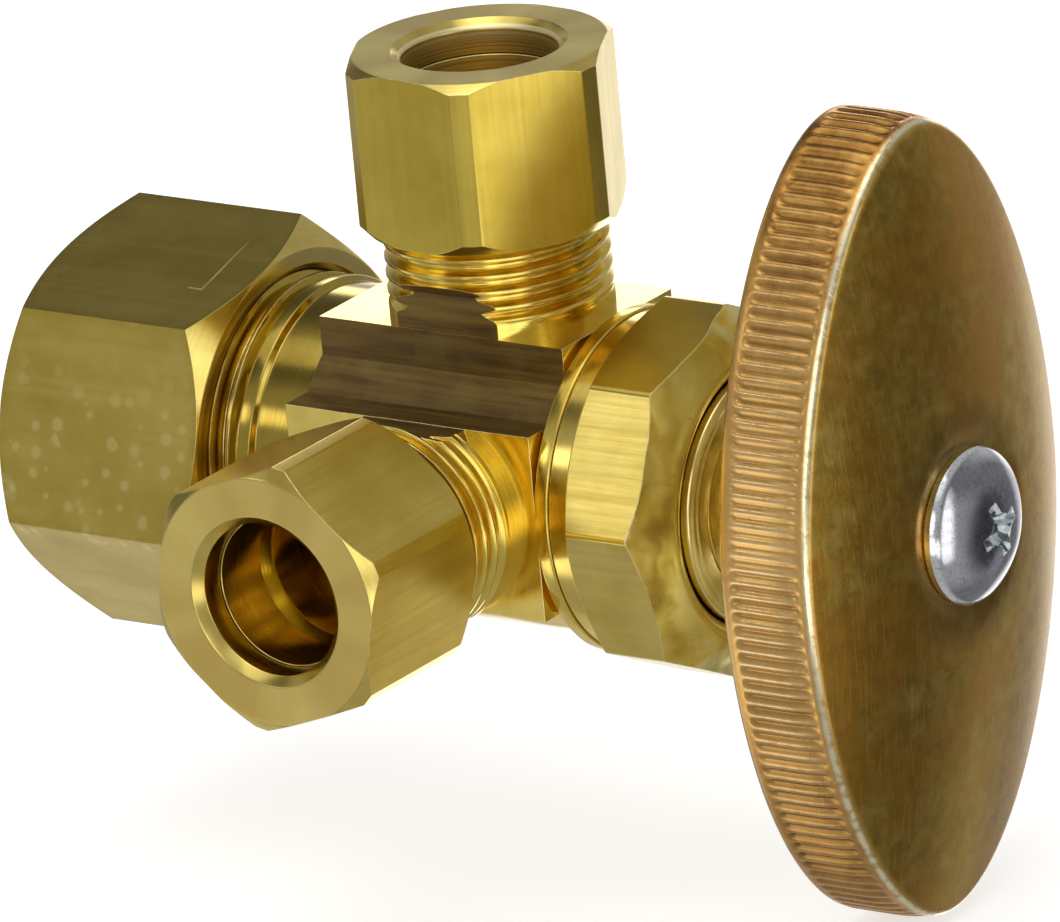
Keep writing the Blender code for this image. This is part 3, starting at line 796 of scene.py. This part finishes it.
def valve_block(mats):
    """The bar milled to length, height and depth, with its passages."""
    block = raw_bar("valve_block", mats["raw_skin"], -12.0, 11.0, mats["body_x"])
    low = Vector((BLOCK_LEFT, -BLOCK_REACH, -14.0))
    high = Vector((BLOCK_RIGHT, 14.0, BLOCK_REACH))
    milled = box("milled_block", high - low, (high + low) / 2, TO_CROSSING, mats["milled_brass"])
    boolean(block, "INTERSECT", milled)
    inlet = [(0, 12.0), (5.25, 12.0), (5.25, 7.8), (3.6, 6.4), (3.6, 2.0), (0, 2.0)]
    chamber = [(0, 12.0), (6.7, 12.0), (6.7, -5.1), (5.0, -5.1), (4.5, -4.4), (0, -4.4)]
    outlet = [(0, 12.0), (2.95, 12.0), (2.95, 1.0), (0, 1.0)]
    holes = [
        (inlet, TOWARDS_INLET), (chamber, TOWARDS_HANDLE), (outlet, TOWARDS_TOP),
        (outlet, TOWARDS_FRONT),
    ]
    for outline, place in holes:
        boolean(block, "DIFFERENCE", turned("hole", outline, place, mats["body_x"], 96, 0.0))
    return piece(block, "valve", "valve_body")


def outlet_neck(name, place, mats, material):
    outline = [
        (5.95, 22.3),
        thread(22.3, 11.35, OUTLET_CREST, OUTLET_PITCH, (0.0, 0.9), ((6.2, 1.0, "min"), None)),
        (OUTLET_CREST, 11.2), (OUTLET_CREST, 10.3), (OUTLET_CREST, 8.0),
        (2.9, 8.0), (2.9, 13.0), (4.8825, 14.5), (4.8825, 20.0), (5.9, 22.3),
    ]
    neck = turned(name, outline, place, material, THREAD_STEPS, 0.05)
    boolean(neck, "INTERSECT", raw_bar(name + "_bar", mats["raw_skin"], -9.0, 9.0, sunk=0.04))
    return piece(neck, "valve", "valve_body")


def inlet_neck(mats):
    outline = [
        (9.3, 26.2),
        thread(26.2, 14.35, INLET_CREST, INLET_PITCH, (0.0, 0.5), ((9.35, 1.0, "min"), None)),
        (INLET_CREST, 14.2), (INLET_CREST, 13.5), (9.95, 13.25), (9.95, 8.5), (5.2, 8.5),
        (5.2, 13.2), (8.0875, 15.0), (8.0875, 23.4), (9.2, 26.2),
    ]
    neck = turned("inlet_neck", outline, TOWARDS_INLET, mats["shaded_neck_x"], THREAD_STEPS, 0.08)
    return piece(neck, "valve", "valve_body")


def bonnet_neck(mats):
    outline = [
        (9.0, 13.5), (9.3, 13.2), (9.3, 9.9), (11.05, 9.9), (11.05, 8.95), (9.6, 8.3),
        (6.7, 8.3), (6.7, 13.5),
    ]
    neck = turned("bonnet_neck", outline, TOWARDS_HANDLE, mats["body_x"], soft=0.1)
    return piece(neck, "valve", "valve_body")


# ---- compression joints
INLET_NUT = {
    "flats": 23.8125, "spin": math.radians(15.49), "inner": 16.4, "outer": 31.9, "rim": 11.8,
    "blank": 13.77, "chamfers": (1.46, 1.35), "hole": 8.1375, "wall": 3.2, "cone": 1.6,
    "crest": INLET_CREST, "pitch": INLET_PITCH, "edge": 0.0,
}
OUTLET_NUT = {
    "flats": 15.875, "inner": 16.4, "outer": 27.7, "rim": 8.05, "blank": 9.0,
    "chamfers": (1.1, 0.65), "hole": 4.9625, "wall": 2.2, "cone": 1.3,
    "crest": OUTLET_CREST, "pitch": OUTLET_PITCH,
}
TOP_NUT = dict(OUTLET_NUT, spin=math.radians(-3.98), edge=0.8)
FRONT_NUT = dict(OUTLET_NUT, spin=math.radians(19.59), edge=0.55)


def compression_nut(name, size, place, turned_mat, drawn_mat):
    """A round blank with its thread, seat cone and tube hole, cut by the hexagonal bar."""
    inner, outer = size["inner"], size["outer"]
    bore = size["crest"] + THREAD_GAP
    root = bore - size["pitch"] * THREAD_SHARE
    mouth = bore + 0.35
    seat = outer - size["wall"]
    hole, cone = size["hole"], seat - size["cone"]
    outline = [
        (size["rim"], outer), (size["blank"], outer - size["chamfers"][1]),
        (size["blank"], inner + size["chamfers"][0]), (size["rim"], inner), (mouth, inner),
        thread(inner, cone, bore, size["pitch"], (0.0, 1.0), ((mouth, -1.0, "max"), None)),
        (bore, cone + 0.1), (root, cone + 0.2),
        (hole, seat), (hole, outer - 0.6), (hole + 0.6, outer),
    ]
    nut = turned(name, outline, place, turned_mat, THREAD_STEPS, 0.07)
    bar = prism(
        name + "_bar", size["flats"], 6, inner - 1, outer + 1, size["spin"], place, drawn_mat,
        size["edge"],
    )
    return boolean(nut, "INTERSECT", bar)


def tool_mark(nut, material):
    """A shallow L-shaped tool mark on the inlet nut's upper flat."""
    flat = INLET_NUT["flats"] / 2
    turn = TO_CROSSING @ Matrix.Rotation(INLET_NUT["spin"], 4, "X")
    strokes = [((-19.57, -19.43), (-2.3, 3.6)), ((-20.5, -19.5), (-2.3, -2.16))]
    for (left, right), (front, back) in strokes:
        size = (right - left, back - front, 0.12)
        middle = ((right + left) / 2, (back + front) / 2, flat)
        boolean(nut, "DIFFERENCE", box("mark", size, middle, turn, material))


def compression_joints(mats):
    nuts = [
        ("inlet_nut", "inlet_turning_nut", INLET_NUT, TOWARDS_INLET, "nut_x", "inlet_flats"),
        ("top_outlet_nut", "top_turning_nut", TOP_NUT, TOWARDS_TOP, "nut_z", "top_flats"),
        ("front_outlet_nut", "front_turning_nut", FRONT_NUT, TOWARDS_FRONT, "nut_y",
         "front_flats"),
    ]
    for node, body, size, place, ends, flats in nuts:
        nut = compression_nut(node + "_fine", size, place, mats[ends], mats[flats])
        if size is INLET_NUT:
            tool_mark(nut, mats[ends])
        piece(nut, body, node)


def ferrules(mats):
    outlet = (4.8625, 5.75, 21.3, 25.42, 1.5)
    rings = [
        ("inlet", (8.0375, 8.85, 24.6, 28.6, 1.8), TOWARDS_INLET, "inlet_ring", "ring_x"),
        ("top_outlet", outlet, TOWARDS_TOP, "top_ring", "ring_z"),
        ("front_outlet", outlet, TOWARDS_FRONT, "front_ring", "ring_y"),
    ]
    for name, (hole, ring, low, high, taper), place, body, mat in rings:
        outline = [
            (hole + 0.12, high), (ring, high - taper), (ring, low + taper), (hole + 0.12, low),
            (hole, low), (hole, high),
        ]
        obj = turned(name + "_ferrule_fine", outline, place, mats[mat], soft=0.15)
        piece(obj, body, name + "_ferrule")


# ---- bonnet
def bonnet_nut(mats):
    """Octagonal nut: a turned skirt, drawn flats and a cloudy sloping end with soft dents."""
    inner, outer = Vector((9.3, 18.3)), Vector((12.6, 16.28))
    slope = [tuple(inner.lerp(outer, share)) for share in np.linspace(0.0, 1.0, 15)]
    outline = [(9.1, 18.36)] + slope + [
        (12.6, 12.2), (12.1, 12.0), (11.0, 11.3), (10.9, 11.2), (10.9, 9.94),
        (9.7, 9.94), (9.7, 16.4), (8.28, 16.4), (8.28, 17.95), (8.7, 18.3),
    ]
    nut = turned("bonnet_nut_fine", outline, TOWARDS_HANDLE, mats["bonnet_nut_brass"], soft=0.0)
    nut.data.materials.append(mats["forged_brass"])
    for vert in nut.data.vertices:
        place = (vert.co - CROSSING) / MM
        radius = math.hypot(place.y, place.z)
        if place.x > 16.3 and radius > 9.4:
            deep = min(1.0, (radius - 9.4) / 0.5)
            vert.co.x += noise.noise(place * 0.42) * 0.22 * deep * MM
            vert.co.x += noise.noise(place * 1.1) * 0.05 * deep * MM
    bar = prism(
        "bonnet_nut_bar", 22.65, 8, 9.0, 19.0, math.radians(41.79), TOWARDS_HANDLE,
        mats["bonnet_flats"], 0.15,
    )
    boolean(nut, "INTERSECT", bar)
    forged = list(nut.data.materials).index(mats["forged_brass"])
    for polygon in nut.data.polygons:
        centre = (polygon.center - CROSSING) / MM
        radius = math.hypot(centre.y, centre.z)
        if centre.x > 16.2 and radius > 9.3 and polygon.normal.x > 0.3:
            polygon.material_index = forged
    return piece(nut, "valve", "bonnet_nut")


def bonnet(mats):
    outline = [
        (7.35, 18.75), (7.45, 18.66), (7.55, 18.75), (7.85, 18.75), (8.15, 18.5), (8.15, 16.1),
        (9.15, 16.1), (9.15, 14.9), (6.35, 14.9), (6.35, 5.9), (5.2, 5.9), (5.2, 12.6),
        (4.2, 12.9), (4.2, 13.7), (6.2, 13.7), (6.2, 18.65), (6.3, 18.75),
    ]
    obj = turned("bonnet_fine", outline, TOWARDS_HANDLE, mats["boss_brass"], soft=0.12)
    piece(obj, "valve", "bonnet")
    rings = [
        ("bonnet_gasket", 6.9, 8.9, 13.8, 14.6, "gasket_fibre", "fibre"),
        ("packing_washer", 4.2, 5.9, 14.0, 14.6, "ring_x", "turned_brass"),
        ("stem_packing", 4.2, 5.9, 14.9, 17.0, "pressed_graphite", "graphite"),
        ("packing_gland", 4.2, 6.1, 17.3, 18.7, "nut_x", "turned_brass"),
    ]
    for node, bore, outside, low, high, mat, slot in rings:
        outline = [(outside, high), (outside, low), (bore, low), (bore, high)]
        ring = turned(node + "_fine", outline, TOWARDS_HANDLE, mats[mat], soft=0.15)
        piece(ring, "valve", node)


# ---- stem
def stem(mats):
    outline = [
        (0, 31.6), (3.0, 31.6), (3.3, 31.2), (3.3, 21.9), (3.9, 21.6), (3.9, 8.9), (4.6, 8.75),
        thread(8.6, 2.9, 4.9, STEM_PITCH, (0.6, 0.6), share=0.45),
        (4.4, 2.6), (3.4, 2.6), (3.4, 0.4), (5.6, 0.4), (5.6, -1.6), (0, -1.6),
    ]
    obj = turned("stem_fine", outline, TOWARDS_HANDLE, mats["stem_brass"], 96, 0.1)
    for index in range(4):
        turn = TO_CROSSING @ Matrix.Rotation(HANDLE_TILT + index * math.pi / 2, 4, "X")
        flat = box("stem_flat", (11.0, 2.0, 9.0), (27.6, 3.85, 0), turn, mats["stem_brass"])
        boolean(obj, "DIFFERENCE", flat)
    screw_hole = [(0, 33.0), (1.9, 33.0), (1.9, 26.0), (0, 24.8)]
    washer_hole = [(0, 3.6), (1.6, 2.6), (1.6, -2.4), (0, -2.4)]
    for hole in (screw_hole, washer_hole):
        cutter = turned("stem_hole", hole, TOWARDS_HANDLE, mats["stem_brass"], 48, 0.0)
        boolean(obj, "DIFFERENCE", cutter)
    piece(obj, "spindle", "stem")

    washer = [(5.4, -1.9), (5.4, -3.8), (5.1, -4.1), (1.6, -4.1), (1.6, -1.9)]
    obj = turned("seat_washer_fine", washer, TOWARDS_HANDLE, mats["seat_rubber"], 96, 0.2)
    piece(obj, "seat_carrier", "seat_washer")

    screw = [(0, 2.0), (1.3, 2.0), (1.3, -4.4), (2.5, -4.4), (2.5, -5.3), (2.0, -5.8), (0, -5.8)]
    obj = turned("seat_washer_screw_fine", screw, TOWARDS_HANDLE, mats["stem_brass"], 64, 0.15)
    piece(obj, "spindle", "seat_washer_screw")


# ---- handle
# One knurl round the rim: 0 on its ridge, 1 in its groove.
GROOVE = np.array([0.0, 0.35, 1.0, 1.0, 0.35, 0.0])
DULL = 3.0


def outline_turns(count):
    """Superellipse parameters that lie at equal distances round the handle."""
    fine = np.linspace(0.0, math.tau, 20001)
    points = oval(fine, 0.0)
    steps = np.hypot(*np.diff(points, axis=0).T)
    length = np.concatenate(([0.0], np.cumsum(steps)))
    return np.interp(np.linspace(0.0, length[-1], count, endpoint=False), length, fine)


def oval(turns, inset):
    power = 2 / HANDLE_POWER
    across, along = np.cos(turns), np.sin(turns)
    x = np.sign(across) * np.abs(across) ** power * (HANDLE_HALF_WIDTH - inset)
    y = np.sign(along) * np.abs(along) ** power * (HANDLE_HALF_LENGTH - inset)
    return np.stack((x, y), axis=-1)


def knurl_depth():
    """Groove depth round the rim, 0 on a ridge; some grooves are worn shallow."""
    worn = [0.75 + 0.5 * noise.noise(Vector((k * 0.35, 4.2, 0.5))) for k in range(KNURLS)]
    return KNURL_DEPTH * np.concatenate([GROOVE * w for w in worn])


def smooth(share):
    share = np.clip(share, 0.0, 1.0)
    return share * share * (3 - 2 * share)


def loop(inset, axial, knurl=0.0, rim=1.0, wear=0.0, share=0.0, radius=0.0):
    """One loop of the handle's skin: an oval that turns by its share into a circle."""
    return inset, axial, knurl, rim, wear, share, radius


def handle_profile():
    """The skin's loops, from the rim's back over the face and back underneath."""
    corner, wall_top = 0.25, 30.8
    # Up the rim's side: (inset, axial, share of the knurls' depth).
    side = [
        (1.1, 24.9, 0), (0.55, 24.92, 0), (0.2, 25.06, 0), (0.06, 25.3, 0), (0.03, 25.55, 0),
        (0.02, 25.75, 0), (0.0, 25.9, 0.25), (0.0, 26.1, 0.85), (0.0, 26.4, 1), (0.0, 27.4, 1),
        (0.0, 28.3, 1), (0.02, 29.2, 1), (0.1, 30.0, 1), (0.17, 30.4, 0.85), (0.22, 30.65, 0.25),
        (corner, wall_top, 0),
    ]
    loops = [loop(i, a, k, wear=math.exp(-((a - 25.0) / 0.2) ** 2)) for i, a, k in side]
    for share in np.linspace(0.12, 1.0, 9):
        turn = share * EDGE_TURN
        ridge = corner + EDGE_ROUND * (1 - math.cos(turn))
        base = wall_top + EDGE_ROUND * math.sin(turn)
        copper = min(1.0, max(0.0, (0.6 - share) * 4))
        wear = 1.4 * math.exp(-((share - 0.5) / 0.2) ** 2)
        loops.append(loop(ridge, base, rim=copper, wear=wear))
    ridge, base = ridge + 0.02, base + 0.01
    rise = HANDLE_CROWN - base
    hole, recess, hub = 2.4, 3.6, 5.6
    shares = np.concatenate(([0.008, 0.02], np.linspace(0.0, 1.0, 30)[1:]))
    crown = [(s, base + rise * (1 - (1 - s) ** 2)) for s in shares]
    loops += [loop(ridge, a, rim=0.0, share=s, radius=hole) for s, a in crown]
    loops += [
        loop(0, HANDLE_CROWN - 1.7, rim=0.0, share=1, radius=hole),
        loop(0, HANDLE_CROWN - 1.9, rim=0.0, share=1, radius=recess),
        loop(0, 22.2, rim=0.3, share=1, radius=recess),
    ]
    loops += [
        loop(0, a, wear=DULL, share=1, radius=hub - smaller)
        for a, smaller in ((22.2, 0.25), (22.27, 0.05), (22.45, 0))
    ]
    under = 2.7
    lower = [(s, a - HANDLE_WALL) for s, a in crown if s < 0.95]
    loops.append(loop(under, lower[-1][1] - 0.2, wear=DULL, share=1, radius=hub))
    loops += [loop(under, a, wear=DULL, share=s, radius=hub) for s, a in reversed(lower)]
    return loops + [
        loop(under, base - HANDLE_WALL, wear=DULL), loop(1.9, 29.6, wear=DULL),
        loop(1.45, 28.4, wear=DULL), loop(HANDLE_WALL, 25.8, wear=1.1), loop(1.35, 25.1, wear=0.8),
    ]


def handle(mats):
    """The oval handwheel: rolled knurled rim, crowned face and a hub over the stem."""
    count = KNURLS * len(GROOVE)
    turns = outline_turns(count)
    groove = knurl_depth()
    edge = oval(turns, 0.0)
    angles = np.arctan2(edge[:, 1], edge[:, 0])
    outwards = edge / np.linalg.norm(edge, axis=1)[:, None]
    rubbed = (np.abs(edge[:, 0]) / HANDLE_HALF_WIDTH) ** 3
    points = []
    marks = {"rim": [], "wear": [], "groove_dark": [], "polish": []}
    for inset, axial, knurl, rim, wear, share, radius in handle_profile():
        circle = np.stack((np.cos(angles), np.sin(angles)), axis=-1) * radius
        flat = oval(turns, inset) * (1 - share) + circle * share
        flat = flat - outwards * (groove * knurl)[:, None]
        height = np.full(count, axial)
        if axial > DISH_ABOVE:
            height -= DISH_DEPTH * smooth((DISH_RADIUS - np.hypot(*flat.T)) / 1.2)
        points.append(np.column_stack((flat, height)) * MM)
        marks["rim"].append(np.full(count, float(rim)))
        marks["wear"].append(wear + knurl * (0.05 + 0.3 * rubbed) * (groove < 0.01))
        marks["groove_dark"].append((groove / KNURL_DEPTH) ** 2 * knurl)
        marks["polish"].append(rubbed * rim)
    bm = bmesh.new()
    join_rings(bm, points, count, closed=True)
    bmesh.ops.recalc_face_normals(bm, faces=bm.faces)
    upright = TO_CROSSING @ Matrix.Rotation(HANDLE_TILT, 4, "X")
    width_along_y = Matrix.Rotation(math.radians(90), 4, "Z")
    place = upright @ Matrix.Rotation(math.radians(90), 4, "Y") @ width_along_y
    obj = solid(bm, "handle_fine", place, mats["antique_bronze"])
    for name, values in marks.items():
        attribute = obj.data.attributes.new(name, "FLOAT", "POINT")
        attribute.data.foreach_set("value", np.concatenate(values).astype(np.float32))
    return piece(obj, "spindle", "handle", sharp=60.0)


def handle_screw(mats):
    """Truss-head screw with a low side wall and a tapered cross recess."""
    head, base, wall, dome = 5.0, 33.9, 0.7, 1.95
    top = base + wall + dome
    sphere = (head ** 2 + dome ** 2) / (2 * dome)
    rise = [(0, top)]
    for radius in np.linspace(0.3, head - 0.22, 18):
        rise.append((radius, top - sphere + math.sqrt(sphere ** 2 - radius ** 2)))
    outline = rise + [
        (head - 0.08, base + wall - 0.05), (head, base + wall - 0.18), (head, base + 0.12),
        (head - 0.15, base), (1.6, base), (1.6, 27.0), (0, 26.6),
    ]
    screw = turned("handle_screw_fine", outline, TOWARDS_HANDLE, mats["zinc_plate"], 128, 0.0)
    arms = [(20, (4.7, 1.0), (2.0, 0.6)), (65, (2.5, 1.5), (1.0, 0.6))]
    for quarter in (0, 90):
        for degrees, mouth, end in arms:
            turn = math.radians(degrees + quarter)
            boolean(screw, "DIFFERENCE", cross_arm(mats["zinc_recess"], top, turn, mouth, end))
    return piece(screw, "spindle", "handle_screw", sharp=30.0)


def cross_arm(material, top, spin, mouth, end):
    """One bar of the cross: (length, width) at its mouth, tapering to its floor."""
    bm = bmesh.new()
    bmesh.ops.create_cube(bm, size=1.0)
    for vert in bm.verts:
        length, width = mouth if vert.co.z > 0 else end
        depth = 0.5 if vert.co.z > 0 else -1.3
        vert.co = Vector((vert.co.x * length, vert.co.y * width, top + depth)) * MM
    place = TO_CROSSING @ Matrix.Rotation(spin, 4, "X") @ Matrix.Rotation(math.pi / 2, 4, "Y")
    return solid(bm, "cross_arm", place, material)


# ---- studio
def make_materials():
    nut, ring = (0.82, 0.65, 0.18), (0.86, 0.66, 0.2)
    made = [
        raw_skin("raw_skin"),
        turned_brass("milled_brass", "X", (0.92, 0.73, 0.2), 0.12, 0.2),
        *(turned_brass("body_" + axis.lower(), axis) for axis in "XYZ"),
        # A darker copy of the body's brass: painted shade on the inlet neck.
        turned_brass("shaded_neck_x", "X", (0.54, 0.4, 0.08), 0.11),
        turned_brass("nut_x", "X", nut, 0.16, face_rough=0.05),
        turned_brass("nut_y", "Y", nut, 0.16, face_rough=0.22, face_tone=(0.76, 0.6, 0.2)),
        turned_brass(
            "nut_z", "Z", nut, 0.16, face_rough=0.42, face_tone=(0.56, 0.5, 0.25), bore=5.2
        ),
        turned_brass("boss_brass", "X", (0.95, 0.82, 0.4), 0.2),
        turned_brass("bonnet_nut_brass", "X", (0.9, 0.7, 0.18), 0.12),
        turned_brass("ring_x", "X", ring, 0.16),
        turned_brass("ring_y", "Y", ring, 0.16),
        turned_brass("ring_z", "Z", ring, 0.16, bore=6.0),
        turned_brass("stem_brass", "X", (0.84, 0.66, 0.22), 0.16),
        drawn_brass("inlet_flats", "X", spots=0.4, shaded=0.9),
        drawn_brass("top_flats", "Z", (0.72, 0.55, 0.1)),
        drawn_brass("front_flats", "Y", (0.84, 0.64, 0.14), streaked=0.85),
        drawn_brass("bonnet_flats", "X", (0.78, 0.62, 0.18), streaked=0.6),
        forged_brass("forged_brass"),
        antique_bronze("antique_bronze"),
        zinc_plate("zinc_plate"),
        zinc_with_painted_glints("zinc_recess"),
        graphite("pressed_graphite"),
        rubber("seat_rubber"),
        fibre("gasket_fibre"),
    ]
    return {material.name: material for material in made}


def floor():
    """A plain pale floor just under the valve."""
    bm = bmesh.new()
    bmesh.ops.create_grid(bm, x_segments=8, y_segments=8, size=2.0)
    obj = solid(bm, "floor", Matrix())
    obj.location = (0, 0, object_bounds()[0].z - 0.0005)
    obj.visible_glossy = False
    sh = Shader("floor_white")
    grain = sh.noise(sh.place, 0.05, detail=2.0)
    sh.finish(sh.ramp(grain, [(0.3, 0.78), (0.7, 0.8)]), 0.6, metallic=0.0)
    sh.principled.inputs["Emission Color"].default_value = (1.0, 1.0, 1.0, 1.0)
    sh.principled.inputs["Emission Strength"].default_value = 0.62
    obj.data.materials.append(sh.material)
    obj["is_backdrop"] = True


def top_light():
    """A weak, soft square lamp above the valve."""
    data = bpy.data.lights.new("top_soft", "AREA")
    data.size = 0.7
    data.energy = 1.0
    obj = new_object("top_soft", data)
    obj.location = (-0.1, -0.1, 0.7)
    obj.rotation_mode = "QUATERNION"
    obj.rotation_quaternion = (-obj.location).to_track_quat("-Z", "Y")


def towards(azimuth, elevation):
    """Unit direction: azimuth 0 looks to -Y, 90 to +X."""
    turn, rise = math.radians(azimuth), math.radians(elevation)
    return (math.sin(turn) * math.cos(rise), -math.cos(turn) * math.cos(rise), math.sin(rise))


def world_light():
    """A soft studio in every direction: a dim room with pale boxes and dark corners.

    The camera itself sees plain white behind the floor.
    """
    world = bpy.data.worlds.new("studio")
    bpy.context.scene.world = world
    world.use_nodes = True
    sh = Nodes(world.node_tree)
    way = sh.add("TexCoord").outputs["Generated"]
    total = ROOM_LIGHT
    for azimuth, elevation, reach, soft, strength in SOFT_BOXES:
        middle = towards(azimuth, elevation)
        facing = sh.add("VectorMath", {0: way, 1: middle}, operation="DOT_PRODUCT")
        glow = sh.add("MapRange", {
            "Value": facing.outputs["Value"],
            "From Min": math.cos(math.radians(reach + soft)),
            "From Max": math.cos(math.radians(max(0.0, reach - soft))),
        }, interpolation_type="SMOOTHSTEP")
        total = sh.times_plus(glow.outputs["Result"], strength, total)
    total = sh.math("MAXIMUM", total, 0.06)
    grey = sh.add("CombineColor", {0: total, 1: total, 2: total}).outputs[0]
    camera_ray = sh.add("LightPath").outputs["Is Camera Ray"]
    background = world.node_tree.nodes["Background"]
    sh.feed(background.inputs["Color"], sh.mix(camera_ray, grey, (1.0, 1.0, 1.0)))


def studio():
    floor()
    world_light()
    top_light()
    bpy.context.scene.view_settings.view_transform = "Standard"


def camera():
    """The photograph's angle, from about 1.08 m in front, to the right and above."""
    data = bpy.data.cameras.new("camera")
    data.sensor_width = 36.0
    data.lens = 580.06
    data.clip_start = 0.05
    data.clip_end = 20.0
    obj = new_object("camera", data)
    axis = Vector((-1.1723, -0.4448, -0.4675))
    obj.rotation_mode = "QUATERNION"
    obj.rotation_quaternion = Quaternion(axis.normalized(), -axis.length)
    obj.location = CROSSING + Vector((602.186, -820.829, 349.118)) * MM
    bpy.context.scene.camera = obj


def build():
    mats = make_materials()
    valve_block(mats)
    outlet_neck("top_neck", TOWARDS_TOP, mats, mats["body_z"])
    outlet_neck("front_neck", TOWARDS_FRONT, mats, mats["body_y"])
    inlet_neck(mats)
    bonnet_neck(mats)
    compression_joints(mats)
    ferrules(mats)
    bonnet_nut(mats)
    bonnet(mats)
    stem(mats)
    handle(mats)
    handle_screw(mats)
    camera()
    studio()


build()
